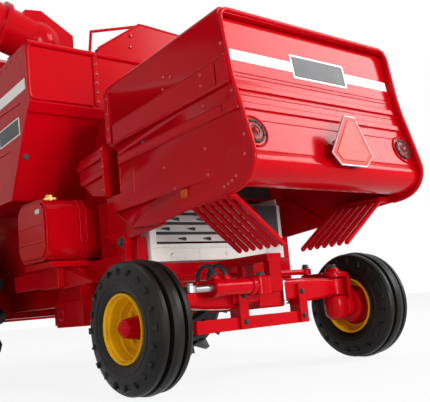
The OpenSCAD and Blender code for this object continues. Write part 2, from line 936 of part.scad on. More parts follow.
module steer_rim_l() {
    steer_rim(1);
}

module steer_rim_r() {
    steer_rim(-1);
}

module steer_tyre(side) {
    w = steer_w / 2;
    color("black")
    place()
        turned_x(side * steer_x, rear_y, steer_r, side)
            polygon([[15.5, -7], [17.5, -7.6], [17.5, -8.6], [22, -w], [26, -w], [28.5, -w + 1.2], [29.2, -w + 2.4],
                [29.2, -w + 4.2], [26.8, -w + 4.6], [26.8, -w + 6], [29.6, -w + 6.4], [30, 0], [29.6, w - 6.4],
                [26.8, w - 6], [26.8, w - 4.6], [29.2, w - 4.2], [29.2, w - 2.4], [28.5, w - 1.2], [26, w], [22, w],
                [17.5, 8.6], [17.5, 7.6], [15.5, 7]]);
}

module steer_tyre_l() {
    steer_tyre(1);
}

module steer_tyre_r() {
    steer_tyre(-1);
}

module feeder_house() {
    color("red")
    lifted() {
        along_x(-feeder_half, feeder_half)
            difference() {
                union() {
                    translate([pivot_y, pivot_z])
                        circle(r = nose_r);
                    translate([pivot_y, pivot_z])
                        rotate([0, 0, feeder_fall])
                            translate([-feeder_len, -feeder_t])
                                square([feeder_len, 2 * feeder_t]);
                }
                translate([header_y - 27, -20])
                    square([30, 100]);
            }
        both()
            shaft_x(feeder_half - 1, feeder_half + 7, pivot_y, pivot_z, 3);
        both()
            for (s = [-5, 5])
                difference() {
                    block([lift_x + s - 1.5, lift_e[0] - 4, lift_e[1] - 4], [lift_x + s + 1.5, lift_e[0] + 5, lift_e[1] + 13]);
                    shaft_x(lift_x + s - 2, lift_x + s + 2, lift_e[0], lift_e[1], 2 + running);
                }
    }
}

module header_frame() {
    color("red")
    lifted() {
        difference() {
            block([-header_half, header_y, header_floor], [header_half, header_y + 3, header_top]);
            block([-feeder_half + 3, header_y - 1, 14], [feeder_half - 3, header_y + 4, 38]);
        }
        block([-header_half, header_y - 4, header_top - 6], [header_half, header_y + 5, header_top]);
        block([-header_half, knife_y, header_floor - 2], [header_half, header_y + 3, header_floor]);
        both()
            along_x(header_half - 3, header_half)
                polygon([[header_y + 3, 5], [header_y + 3, header_top], [header_y - 22, header_top], [-168, 36],
                    [-196, 20], [nose_y, 8], [nose_y, 5]]);
    }
}

module cutter_bar() {
    color("dimgray")
    lifted()
        translate([0, 0, header_floor - 2])
            linear_extrude(2)
                polygon(concat([[-header_half + 3, knife_y], [header_half - 3, knife_y]],
                    [for (i = [0:guard_n - 1], k = [0:2]) guard_point(i, k)]));
}

guard_n = floor((header_w - 10) / guard_pitch);

// Outline points of one knife guard, right to left
function guard_point(i, k) = [
    (guard_n / 2 - i) * guard_pitch - [0, 0.5, 1][k] * guard_pitch,
    knife_y - [2.5, 10, 2.5][k]
];

module reel_arms() {
    color("red")
    lifted()
        both() {
            difference() {
                along_x(header_half - 9, header_half - 5)
                    polygon([[header_y + 2, header_top], [header_y - 4, header_top], [reel_y - 2, reel_z - 5],
                        [reel_y - 5, reel_z], [reel_y, reel_z + 5], [header_y + 2, header_top + 9]]);
                shaft_x(header_half - 12, header_half, reel_y, reel_z, reel_shaft_r + running);
            }
        }
}

module auger_tube() {
    color("dimgray")
    lifted()
        difference() {
            union() {
                shaft_x(-header_half + 3 + gap, header_half - 3 - gap, auger_y, auger_z, auger_tube_r);
                for (i = [0:9])
                    rotate_finger(i);
            }
        }
}

module rotate_finger(i) {
    translate([-22.5 + 5 * i, auger_y, auger_z])
        rotate([i * 137, 0, 0])
            cylinder(h = auger_r - 1, r = 0.9);
}

module auger_flights() {
    turns = (header_half - 40) / auger_pitch;
    color("silver")
    lifted()
        both()
            translate([34, auger_y, auger_z])
                rotate([0, 90, 0])
                    linear_extrude(header_half - 40, twist = -360 * turns, slices = ceil(turns * 18), $fn = 4)
                        translate([auger_tube_r - 0.4, -1])
                            square([auger_r - auger_tube_r + 0.4, 2]);
}

module reel() {
    n = floor((header_w - 40) / tine_pitch);
    half = header_half - 12;
    color("gold")
    lifted() {
        shaft_x(-header_half + 5, header_half - 5, reel_y, reel_z, reel_shaft_r);
        for (x = [-half + 1, -half / 2, 0, half / 2, half - 1])
            translate([x - 1, reel_y, reel_z])
                rotate([0, 90, 0])
                    linear_extrude(2)
                        union() {
                            circle(r = 7);
                            for (i = [0:bat_count - 1])
                                rotate([0, 0, 360 * i / bat_count])
                                    translate([0, -1.4])
                                        square([reel_r - 7, 2.8]);
                        }
        for (i = [0:bat_count - 1])
            translate([0, reel_y, reel_z])
                rotate([360 * i / bat_count, 0, 0]) {
                    shaft_x(-half, half, 0, -reel_r + 8, 1.8);
                    translate([0, 0.5, -reel_r + 8])
                        rotate([90, 0, 0])
                            linear_extrude(1)
                                polygon(concat([[half - 2, 0], [-half + 2, 0]],
                                    [for (t = [0:n - 1], k = [0:3]) tine_point(t, k, n)]));
                }
    }
}

// Outline points of one reel tine, left to right
function tine_point(t, k, n) = [
    (t - (n - 1) / 2) * tine_pitch + [-0.5, -0.5, 0.5, 0.5][k],
    [-2, -8, -8, -2][k]
];

// Lift cylinders lie along their own line, from the axle's eye to the feeder's eye
module lift_line() {
    translate([0, lift_a[0], lift_a[1]])
        rotate([-lift_turn, 0, 0])
            children();
}

module lift_barrels() {
    color("red")
    place()
        lift_line()
            both()
                translate([lift_x, 0, 0]) {
                    difference() {
                        rotate([90, 0, 0])
                            cylinder(h = lift_barrel, r = 4);
                        translate([0, -lift_in + 2, 0])
                            rotate([90, 0, 0])
                                cylinder(h = lift_barrel, r = 2 + running);
                        translate([-6, -5, -6])
                            cube([2.8, 11, 12]);
                        translate([3.2, -5, -6])
                            cube([2.8, 11, 12]);
                    }
                    shaft_x(-6.5, 6.5, 0, 0, 2);
                }
}

module lift_rods() {
    color("silver")
    place()
        lift_line()
            both()
                translate([lift_x, 0, 0]) {
                    translate([0, lift_short - lift_len - lift_in, 0])
                        rotate([90, 0, 0])
                            cylinder(h = lift_short - lift_in - 2, r = 2);
                    shaft_x(-3.2, 3.2, -lift_len, 0, 3.4);
                }
}

frame_rails();
drive_axle();
separator_body();
straw_hood();
rear_panel();
lamp_bezels();
lamp_lenses();
slow_triangle();
windrow_fingers();
cleaning_shoe();
grain_tank();
tank_gable();
unload_turret();
unload_tube();
unload_spout();
clean_grain_elevator();
fuel_tank();
fuel_cap();
fuel_bracket();
platform();
handrails();
cab_body();
cab_roof();
cab_glass();
cab_door();
door_glass();
driver_seat();
steering_column();
engine_house();
rotary_screen();
exhaust();
axle_beam();
hitch_bar();
steer_barrel();
steer_hoses();
steer_rod();
knuckle_l();
knuckle_r();
tie_rod();
drive_rim_l();
drive_rim_r();
drive_tyre_l();
drive_tyre_r();
steer_rim_l();
steer_rim_r();
steer_tyre_l();
steer_tyre_r();
feeder_house();
header_frame();
cutter_bar();
reel_arms();
auger_tube();
auger_flights();
reel();
lift_barrels();
lift_rods();
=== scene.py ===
"""Dresses the scale model combine: paint, tyres, fasteners, stripes, lamps, the camera and the stage."""

import json
import math

import bmesh
import bpy
from mathutils import Matrix, Vector


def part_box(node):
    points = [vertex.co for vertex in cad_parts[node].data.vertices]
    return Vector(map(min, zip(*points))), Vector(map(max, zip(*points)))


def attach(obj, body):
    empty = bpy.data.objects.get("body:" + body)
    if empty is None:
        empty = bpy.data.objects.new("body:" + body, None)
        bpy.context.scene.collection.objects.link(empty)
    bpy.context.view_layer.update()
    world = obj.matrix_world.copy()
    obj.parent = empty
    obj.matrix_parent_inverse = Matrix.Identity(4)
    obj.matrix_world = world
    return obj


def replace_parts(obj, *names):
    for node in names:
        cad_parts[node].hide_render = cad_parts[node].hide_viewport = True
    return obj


bl_info = {
    "name": "Model combine dressing",
    "version": (1, 0, 0),
    "blender": (4, 5, 0),
    "location": "View3D > Sidebar > Combine",
    "description": "Finishes and small parts of the scale model combine",
    "category": "Object",
}

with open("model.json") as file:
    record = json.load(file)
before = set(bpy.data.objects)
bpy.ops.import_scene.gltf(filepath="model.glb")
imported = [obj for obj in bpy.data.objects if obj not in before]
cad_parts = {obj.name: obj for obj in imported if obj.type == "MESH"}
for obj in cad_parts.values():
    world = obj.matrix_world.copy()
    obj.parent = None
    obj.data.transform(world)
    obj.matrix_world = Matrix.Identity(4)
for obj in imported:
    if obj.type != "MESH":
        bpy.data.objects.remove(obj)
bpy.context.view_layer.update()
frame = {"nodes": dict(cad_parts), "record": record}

# Places on the machine in millimetres: X from its middle, Y from the front axle, Z from the ground.
REAR_AXLE = 200.0
KING_X = 57.0
STEER_X, STEER_R = 76.0, 30.0
DRIVE_X, DRIVE_R = 90.0, 52.0
TIE_Y = 180.0
CYLINDER_Y, CYLINDER_Z = 214.0, 44.5
KNUCKLE_TOP = 46.3
HOOD_HALF, HOOD_SKIN = 59.2, 59.15
TANK_HALF = 84.0
TANK_BACK = 122.0
SHOE_BACK = 173.0
LOUVRE_STEP, LOUVRE_RISE = 2.4, 5.6
HEADER_DROP = -22

_LOW, _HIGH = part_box("steer_tyre_l")
SHIFT = (_LOW[1] + _HIGH[1]) / 2 - REAR_AXLE / 1000
SIDES = (("l", 1), ("r", -1))
LEFT = Vector((1, 0, 0))
BACK = Vector((0, 1, 0))
UP = Vector((0, 0, 1))


def at(x, y, z):
    """A point of the machine, in millimetres from the front axle, as metres in the frame."""
    return Vector((x / 1000, y / 1000 + SHIFT, z / 1000))


def way(x, y, z):
    """A direction."""
    return Vector((x, y, z)).normalized()


def drawn(x, points):
    """Points of the frame at one distance from the middle, from (y, z) in millimetres."""
    return [at(x, y, z) for y, z in points]


def turns(count, start=0.0):
    """The cosine and sine of even steps round a circle."""
    angles = [start + 2 * math.pi * k / count for k in range(count)]
    return [(math.cos(a), math.sin(a)) for a in angles]


class CombineFinish(bpy.types.PropertyGroup):
    """Colours of the model."""

    red: bpy.props.FloatVectorProperty(
        name="Red", description="Body paint", subtype="COLOR", size=3, default=(0.45, 0.0006, 0.005))
    white: bpy.props.FloatVectorProperty(
        name="White", description="Stripes and cleaning shoe", subtype="COLOR", size=3, default=(0.84, 0.81, 0.76))
    yellow: bpy.props.FloatVectorProperty(
        name="Yellow", description="Wheel rims and reel", subtype="COLOR", size=3, default=(0.78, 0.40, 0.004))
    dark: bpy.props.FloatVectorProperty(
        name="Dark grey", description="Deck, screens and plates", subtype="COLOR", size=3,
        default=(0.055, 0.055, 0.06))
    tyre: bpy.props.FloatVectorProperty(
        name="Tyre", description="Tyre rubber", subtype="COLOR", size=3, default=(0.0075, 0.0066, 0.006))
    warning: bpy.props.FloatVectorProperty(
        name="Warning red", description="Slow vehicle triangle", subtype="COLOR", size=3, default=(0.72, 0.085, 0.07))
    amber: bpy.props.FloatVectorProperty(
        name="Amber", description="Side reflectors", subtype="COLOR", size=3, default=(0.46, 0.075, 0.005))


class CombineSizes(bpy.types.PropertyGroup):
    """Sizes of the small parts, in metres."""

    rivet_r: bpy.props.FloatProperty(
        name="Rivet radius", description="Radius of a body rivet", unit="LENGTH", default=0.0008, min=0.0003,
        max=0.002)
    stripe_low: bpy.props.FloatProperty(
        name="Stripe foot", description="Height of the rear stripe's lower edge", unit="LENGTH", default=0.1398)
    stripe_h: bpy.props.FloatProperty(
        name="Stripe height", description="Height of the rear stripe", unit="LENGTH", default=0.0052)
    shoulder_marks: bpy.props.IntProperty(
        name="Shoulder marks", description="Wedges round a steered tyre's shoulder", default=20, min=8, max=40)
    key_watts: bpy.props.FloatProperty(
        name="Key light", description="Power of the key light", unit="POWER", default=11.5)


def sizes_of():
    """The sizes that are set in the panel."""
    return bpy.context.scene.combine_sizes


PAINTS = {}


def add_node(tree, kind, values=None, feeds=None):
    """A shader node with some inputs set, and others fed by sockets."""
    node = tree.nodes.new("ShaderNode" + kind)
    for name, value in (values or {}).items():
        node.inputs[name].default_value = value
    for name, socket in (feeds or {}).items():
        tree.links.new(socket, node.inputs[name])
    return node


def new_finish(name, colour, rough, spread=0.12, patch=30.0, grain=600.0, bump=0.04, metal=0.0, specular=0.35,
               edge=0.0005, weave=0.0):
    """A node material: patchy colour, uneven roughness, a fine grain or rows of small holes, and softened edges."""
    mat = bpy.data.materials.new(name)
    mat.use_nodes = True
    tree = mat.node_tree
    shader = tree.nodes["Principled BSDF"]
    shader.inputs["Metallic"].default_value = metal
    shader.inputs["Specular IOR Level"].default_value = specular
    place = add_node(tree, "TexCoord").outputs["Object"]
    patches = add_node(tree, "TexNoise", {"Scale": patch, "Detail": 4.0}, {"Vector": place})
    shades = add_node(tree, "ValToRGB", feeds={"Fac": patches.outputs["Fac"]})
    for stop, spot, factor in zip(shades.color_ramp.elements, (0.3, 0.7), (1.0 - spread, 1.0 + spread * 0.6)):
        stop.position = spot
        stop.color = [min(1.0, v * factor) for v in colour] + [1.0]
    smears = add_node(tree, "TexNoise", {"Scale": patch * 4, "Detail": 6.0}, {"Vector": place})
    gloss = add_node(tree, "MapRange", {"To Min": rough[0], "To Max": rough[1]}, {"Value": smears.outputs["Fac"]})
    if weave:
        fine = add_node(tree, "TexVoronoi", {"Scale": weave, "Randomness": 0.0}, {"Vector": place})
        height, depth = fine.outputs["Distance"], 0.001
    else:
        fine = add_node(tree, "TexNoise", {"Scale": grain, "Detail": 3.0}, {"Vector": place})
        height, depth = fine.outputs["Fac"], 0.0004
    relief = add_node(tree, "Bump", {"Strength": bump, "Distance": depth}, {"Height": height})
    if edge > 0:
        soften = add_node(tree, "Bevel", {"Radius": edge})
        soften.samples = 4
        tree.links.new(soften.outputs["Normal"], relief.inputs["Normal"])
    tree.links.new(shades.outputs["Color"], shader.inputs["Base Color"])
    tree.links.new(gloss.outputs["Result"], shader.inputs["Roughness"])
    tree.links.new(relief.outputs["Normal"], shader.inputs["Normal"])
    PAINTS[name] = mat
    return mat


class Shape:
    """A mesh that is put together from turned, plate, tube and drawn forms."""

    def __init__(self):
        self.bm = bmesh.new()

    def skin(self, rings, closed=False, ends=True):
        """Faces over both ends of a row of rings and from each ring to the next; a ring may be one point."""
        if ends and not closed:
            self.bm.faces.new(list(reversed(rings[0])))
            self.bm.faces.new(rings[-1])
        for a, b in list(zip(rings, rings[1:])) + ([(rings[-1], rings[0])] if closed else []):
            n = max(len(a), len(b))
            for i in range(n):
                j = (i + 1) % n
                if len(a) == 1:
                    self.bm.faces.new((a[0], b[i], b[j]))
                elif len(b) == 1:
                    self.bm.faces.new((a[i], a[j], b[0]))
                else:
                    self.bm.faces.new((a[i], a[j], b[j], b[i]))
        return self

    def turned(self, profile, centre, axis, sides=20, closed=False):
        """A profile of (radius, height) in millimetres, turned about an axis through centre."""
        frame3 = axis.to_track_quat("Z", "Y").to_matrix()
        rings = []
        for r, h in profile:
            spots = [Vector((r * c, r * s, h)) / 1000 for c, s in turns(sides if r else 1)]
            rings.append([self.bm.verts.new(centre + frame3 @ spot) for spot in spots])
        return self.skin(rings, closed, False)

    def plate(self, outline, centre, along, up, thick, edge=0.0):
        """A flat outline in millimetres, laid on along and up, thick, with a bevelled rim."""
        out = along.cross(up).normalized()
        levels = ((outline, 0.0), (outline, thick - edge), (shrunk(outline, edge), thick))
        return self.skin([[self.bm.verts.new(centre + (along * x + up * y + out * h) / 1000) for x, y in points]
                          for points, h in levels])

    def tube(self, points, r, sides=10, closed=False):
        """A round tube of radius r, in millimetres, through points of the frame."""
        n = len(points)
        rings = []
        normal = None
        for i, p in enumerate(points):
            before = points[i - 1] if i or closed else p
            after = points[(i + 1) % n] if i + 1 < n or closed else p
            run = (after - before).normalized()
            if normal is None:
                normal = run.orthogonal().normalized()
            normal = (normal - run * normal.dot(run)).normalized()
            across = run.cross(normal)
            rings.append([self.bm.verts.new(p + (normal * c + across * s) * r / 1000) for c, s in turns(sides)])
        return self.skin(rings, closed)

    def run(self, outline, x0, x1):
        """A closed outline of (y, z) in millimetres, drawn along X from x0 to x1."""
        return self.skin([[self.bm.verts.new(at(x, y, z)) for y, z in outline] for x in (x0, x1)])

    def rivet(self, spot, out, r=None):
        """A domed rivet head on a thin collar."""
        r = r or sizes_of().rivet_r * 1000
        dome = [(r * 1.25, -0.15), (r * 1.25, 0.12), (r, 0.18), (r * 0.9, 0.42), (r * 0.55, 0.7), (0, 0.8)]
        return self.turned(dome, spot, out, 10)

    def bolt(self, spot, out, r, h):
        """A hexagon head on a washer, with a chamfered crown."""
        self.turned([(r * 1.5, -0.2), (r * 1.5, h * 0.25), (r * 1.2, h * 0.3)], spot, out, 16)
        return self.turned([(r * 1.15, h * 0.2), (r * 1.15, h * 0.85), (r * 0.9, h), (0, h)], spot, out, 6)

    def made(self, name, paint):
        """Closes the mesh into an object of the scene."""
        mesh = bpy.data.meshes.new(name)
        self.bm.to_mesh(mesh)
        self.bm.free()
        mesh.materials.append(paint)
        obj = bpy.data.objects.new(name, mesh)
        bpy.context.scene.collection.objects.link(obj)
        return obj

    def piece(self, name, slot="red_paint", body="chassis", paint=None, smooth=32.0):
        """Makes a piece that rides on a body; its paint is its slot's, unless another is named."""
        bmesh.ops.recalc_face_normals(self.bm, faces=self.bm.faces[:])
        obj = self.made(name, PAINTS[paint or slot])
        obj.data.polygons.foreach_set("use_smooth", [True] * len(obj.data.polygons))
        obj.data.set_sharp_from_angle(angle=math.radians(smooth))
        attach(obj, body)
        return obj


def shrunk(outline, d):
    """The outline moved in by d on every side; it runs anticlockwise."""
    n = len(outline)
    moved = []
    for i in range(n):
        a, b, c = outline[i - 1], outline[i], outline[(i + 1) % n]
        e1 = Vector((b[0] - a[0], b[1] - a[1])).normalized()
        e2 = Vector((c[0] - b[0], c[1] - b[1])).normalized()
        n1, n2 = Vector((-e1.y, e1.x)), Vector((-e2.y, e2.x))
        mid = n1 + n2
        mid = mid * (d / max(0.2, mid.dot(n1)))
        moved.append((b[0] + mid.x, b[1] + mid.y))
    return moved


def rounded(w, h, r, steps=4):
    """A rectangle of w by h about its middle, with round corners, anticlockwise."""
    points = []
    for cx, cy, a0 in ((1, 1, 0), (-1, 1, 90), (-1, -1, 180), (1, -1, 270)):
        for k in range(steps + 1):
            a = math.radians(a0 + 90 * k / steps)
            points.append((cx * (w / 2 - r) + r * math.cos(a), cy * (h / 2 - r) + r * math.sin(a)))
    return points


def flowing(points, steps=6):
    """A smooth line through the points."""
    n = len(points)
    line = []
    for i in range(n - 1):
        a, b, c, d = (Vector(points[max(0, min(n - 1, i + k))]) for k in (-1, 0, 1, 2))
        for step in range(steps):
            t = step / steps
            bend = (2 * a - 5 * b + 4 * c - d) * t * t + (3 * b - a - 3 * c + d) * t ** 3
            line.append(tuple((2 * b + (c - a) * t + bend) / 2))
    return line + [tuple(points[-1])]


def panel_y(z):
    """The rear panel's surface at a height, in millimetres."""
    line = [(160.2, 248.9), (131.0, 253.2), (114.5, 257.6), (97.5, 262.0)]
    for (z1, y1), (z0, y0) in zip(line, line[1:]):
        if z >= z0:
            return y0 + (y1 - y0) * (z - z0) / (z1 - z0)
    return 262.0


PANEL_UP = way(0, -4.3, 29.2)


class COMBINE_OT_finishes(bpy.types.Operator):
    """Gives every solid its paint, rubber, metal or glass."""

    bl_idname = "combine.finishes"
    bl_label = "Finishes"

    def execute(self, context):
        c = context.scene.combine_finish
        new_finish("red_paint", c.red, (0.13, 0.2), spread=0.05, patch=22, grain=420, bump=0.04, specular=0.075)
        new_finish("rivet_paint", c.red, (0.1, 0.16), spread=0.05, patch=22, grain=420, bump=0.02, specular=0.5)
        new_finish("white_paint", c.white, (0.3, 0.42), spread=0.06, patch=60, grain=500)
        new_finish("yellow_paint", c.yellow, (0.2, 0.3), spread=0.08, patch=60, grain=500, specular=0.1)
        new_finish("dark_paint", c.dark, (0.42, 0.58), spread=0.25, patch=80, grain=900, bump=0.12)
        new_finish("deck_paint", c.dark, (0.45, 0.6), spread=0.25, patch=80, bump=0.5, weave=320.0)
        mesh_grey = tuple(v * 1.6 for v in c.dark)
        new_finish("screen_mesh", mesh_grey, (0.45, 0.6), spread=0.3, patch=90, bump=0.9, weave=900.0)
        new_finish("steel", (0.42, 0.42, 0.44), (0.28, 0.42), spread=0.1, patch=200, grain=1500, metal=1.0)
        new_finish("brass", (0.62, 0.4, 0.12), (0.25, 0.4), spread=0.15, patch=150, metal=1.0)
        new_finish("rubber", (0.012, 0.012, 0.013), (0.45, 0.6), spread=0.2, patch=150, bump=0.1, specular=0.4)
        # Dark brown rubber of the straw curtain; it also paints the shade in the space under the hood.
        new_finish("curtain_rubber_painted_shade", (0.05, 0.038, 0.035), (0.5, 0.65), spread=0.2, patch=120, bump=0.1, specular=0.1)
        new_finish("tyre", c.tyre, (0.36, 0.5), spread=0.35, patch=70, grain=1400, bump=0.12, specular=0.16,
                   edge=0.0004)
        new_finish("black_plastic", (0.02, 0.02, 0.022), (0.38, 0.5), spread=0.2, patch=120, grain=1800, bump=0.1)
        new_finish("red_lens", (0.24, 0.004, 0.006), (0.1, 0.18), spread=0.2, patch=300, grain=900, bump=0.1,
                   specular=0.25)
        new_finish("warning_red", c.warning, (0.3, 0.42), spread=0.1, patch=140, bump=0.25, weave=1300.0)
        band_red = tuple(v * 0.7 for v in c.warning)
        new_finish("warning_band", band_red, (0.3, 0.42), spread=0.1, patch=140, specular=0.2)
        new_finish("amber_lens", c.amber, (0.2, 0.3), spread=0.2, patch=200, bump=0.3, specular=0.1, weave=1400.0)
        glass = new_finish("glass", (0.86, 0.92, 0.94), (0.02, 0.06), spread=0.03, patch=12, grain=60, bump=0.01,
                           edge=0.0)
        shader = glass.node_tree.nodes["Principled BSDF"]
        shader.inputs["Transmission Weight"].default_value = 0.9
        shader.inputs["IOR"].default_value = 1.45
        own = {"platform": "deck_paint", "rotary_screen": "screen_mesh"}
        slots = {s["node"]: s["material_slot"] for s in frame["record"]["subparts"]}
        for node, obj in frame["nodes"].items():
            obj.data.materials.clear()
            obj.data.materials.append(PAINTS[own.get(node, slots[node])])
        return {"FINISHED"}


class COMBINE_OT_hood_fasteners(bpy.types.Operator):
    """Rivets on the hood's sides and flange, with the amber side reflectors and the dark notches."""

    bl_idname = "combine.hood_fasteners"
    bl_label = "Hood rivets and reflectors"

    spots = ((210.1, 143.9), (215.3, 142.4), (209.3, 138.2), (214.6, 136.6), (237, 122.7), (236.6, 119.6),
             (235.8, 103.7), (236.2, 92.1), (205.2, 101.7), (212.2, 90.5), (246, 85), (248.6, 85.8),
             (251.2, 86.6), (253.8, 88.2), (261, 104), (260.4, 96), (256, 124), (252, 146))
    on_band = ((237.6, 136.2), (237.5, 131.1))
    # Height above the skin, place along the hood and heights of each row on the flange.
    flange_rows = ((1.2, 161.6, (147, 139, 131, 125.5)), (2.5, 155.5, (100.5, 112.6, 122)))
    band_lift = 0.9
    notch = ((-1.6, 1.8), (0.2, -2.2), (1.7, 1.8))

    def execute(self, context):
        for tag, s in SIDES:
            out = LEFT * s
            heads = Shape()
            for y, z in self.spots:
                heads.rivet(at(s * HOOD_HALF, y, z), out)
            for y, z in self.on_band:
                heads.rivet(at(s * (HOOD_HALF + self.band_lift), y, z), out)
            for lift, y, heights in self.flange_rows:
                for z in heights:
                    heads.rivet(at(s * (HOOD_HALF + lift), y, z), out)
            heads.piece("hood_rivets_" + tag, paint="rivet_paint")
            lens = Shape().plate(rounded(4.2, 3.8, 0.6), at(s * HOOD_SKIN, 218.9, 87), BACK * s, UP, 0.8, 0.25)
            lens.piece("side_reflector_" + tag, "red_lens", paint="amber_lens")
            notch = Shape().plate(self.notch, at(s * HOOD_SKIN, 189.8, 116.6), BACK * s, UP, 0.25, 0.08)
            notch.piece("hood_notch_" + tag, "black_plastic")
        return {"FINISHED"}


class COMBINE_OT_hood_shell(bpy.types.Operator):
    """The straw hood with its long top edges rounded, its rolled rim, lower corners and the ends of its bands."""

    bl_idname = "combine.hood_shell"
    bl_label = "Hood shell"

    corner = ((246, 82.2), (252, 82.7), (257.4, 84.3), (261.6, 87.2), (264.3, 91.4), (265.1, 96),
              (264.2, 100.8))
    rim_side = ((260.6, 114.5), (256.2, 131), (253.2, 151.6))
    rim_x, rim_bend = 58.3, 5.3
    # Half width and bend of the outer and the inner top edges, in metres.
    long_bends = ((0.0592, 0.0056), (0.0572, 0.0036))
    lip = ((262.1, 97.3), (263.3, 94), (262.6, 90.4), (259.4, 87.2), (255, 85.3), (250.6, 84.7))
    bands = (((247.5, 127.6), (247.5, 139.6), (254.5, 140.2), (256.2, 128.2)),
             ((249.5, 115.1), (249.5, 119.9), (258.7, 120.5), (260, 115.7)))

    def execute(self, context):
        shell = Shape()
        source = frame["nodes"]["straw_hood"]
        shell.bm.from_mesh(source.data)
        shell.bm.transform(source.matrix_world)
        bmesh.ops.remove_doubles(shell.bm, verts=shell.bm.verts[:], dist=1e-6)
        bmesh.ops.dissolve_limit(shell.bm, angle_limit=math.radians(0.5), verts=shell.bm.verts[:],
                                 edges=shell.bm.edges[:])
        for half, bend in self.long_bends:
            bmesh.ops.bevel(shell.bm, geom=self.long_edges(shell.bm, half), offset=bend, offset_type="OFFSET",
                            segments=6, profile=0.5, affect="EDGES", clamp_overlap=True)
        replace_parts(shell.piece("hood_shell"), "straw_hood")

        path = []
        for s in (1, -1):
            side = drawn(s * self.rim_x, flowing(self.corner + self.rim_side, 5))
            for c, t in turns(24)[:7]:
                x, rise = self.rim_x - self.rim_bend * (1 - c), self.rim_bend * t
                side.append(at(s * x, 252.4 - 0.9 * t, 157.4 + rise))
            path += side if s > 0 else list(reversed(side))
        Shape().tube(path, 1.1, 12).piece("hood_rim")

        skin = Shape()
        line = flowing(self.lip)
        skin.run(line + [(y - 0.8, z + 0.6) for y, z in reversed(line)], -57.1, 57.1)
        for s in (1, -1):
            skin.run(flowing(self.corner) + [(250, 100.8), (246, 95)], s * 57.3, s * 59.25)
            for band in self.bands:
                skin.run(band, s * 58.9, s * 60.1)
        skin.piece("hood_lip", smooth=24)
        return {"FINISHED"}

    def long_edges(self, bm, half):
        """The edges that run along the hood's top at a distance from its middle."""
        return [e for e in bm.edges
                if all(abs(abs(v.co.x) - half) < 1e-4 and v.co.z > 0.15 for v in e.verts)
                and abs(e.verts[0].co.y - e.verts[1].co.y) > 0.05]


class COMBINE_OT_hood_edges(bpy.types.Operator):
    """Folds and beads of the hood's sides, the straw curtain, whose dark brown also paints the shade under the hood,
    its side sheets and the shaker arms.
    """

    bl_idname = "combine.hood_edges"
    bl_label = "Hood edges"

    low_edge = ((246, 82.4), (223, 80.5), (206, 78.5), (196, 77.1), (176, 78), (159.4, 88.4))
    fold = ((161, 88.1), (180, 88.6), (199, 89.3))
    front_fold = ((167.6, 97), (168, 108), (167.6, 116.8))
    beads = (((165.5, 122.5), (256, 128.2), 0.8), ((165.5, 132.6), (254.5, 140.1), 0.4),
             ((168, 111.4), (260, 115.8), 0.65), ((168, 115.2), (258.7, 120.4), 0.4))
    boss_y, boss_z = 163, 72.4
    boss = ((3.4, -2.2), (3.8, -1.6), (3.8, 1.6), (3.4, 2.2), (0, 2.2))
    shaker = ((51.5, 138, 79), (54, 146, 77.5), (56, 156, 74), (56, 163, 72.6))
    strips, first_strip, strip_step = 12, -43.5, 7.9
    sheet = ((150, 73.2), (150, 97), (172, 97), (199, 79), (199, 76.2), (194, 75.5), (168, 73.4))

    def execute(self, context):
        for tag, s in SIDES:
            edge = Shape().tube(drawn(s * 58.5, self.low_edge), 0.75, 10)
            edge.tube([at(s * 60.2, 161 + 0.35 * k, 123.5 + 5.4 * k) for k in range(6)], 0.6, 8)
            edge.tube(drawn(s * 59.3, self.fold), 0.5, 8)
            edge.tube(drawn(s * HOOD_HALF, self.front_fold), 0.5, 8)
            edge.tube([at(s * HOOD_SKIN, 180.4 - 0.23 * k, 106 - 2 * k) for k in range(7)], 0.45, 8)
            for (y0, z0), (y1, z1), r in self.beads:
                line = [(y0 + (y1 - y0) * k / 8, z0 + (z1 - z0) * k / 8) for k in range(9)]
                edge.tube(drawn(s * 60, line), r, 8)
            edge.piece("hood_beads_" + tag)
            sheets = Shape().run(self.sheet, s * 56.2, s * 57)
            sheets.plate(rounded(10.2, 34, 0.3), at(s * 52.2, 167, 108), -LEFT, UP, 0.7, 0.1)
            for z in (96, 106, 116):
                sheets.rivet(at(s * 51, 167.7, z), BACK)
            sheets.piece("inner_sheets_" + tag)
            arm = Shape().tube([at(s * x, y, z) for x, y, z in self.shaker], 2.2, 12)
            arm.turned(self.boss, at(s * 56, self.boss_y, self.boss_z), LEFT * s, 20)
            arm.piece("shaker_arm_" + tag)
            bolt = Shape().bolt(at(s * 58.1, self.boss_y, self.boss_z), LEFT * s, 1.7, 1.8)
            bolt.piece("shaker_bolt_" + tag, "black_plastic")
        # Rubber strips behind the hood, dark brown as painted shade where the space under the hood lies in shadow.
        curtain = Shape()
        for k in range(self.strips):
            spot = at(self.first_strip + self.strip_step * k, 166.2 + 0.7 * (k % 2), 110.5)
            curtain.plate(rounded(8.2, 28, 0.8), spot, -LEFT, UP, 0.7, 0.2)
        curtain.piece("straw_curtain_painted_shade", "rubber", paint="curtain_rubber_painted_shade")
        return {"FINISHED"}


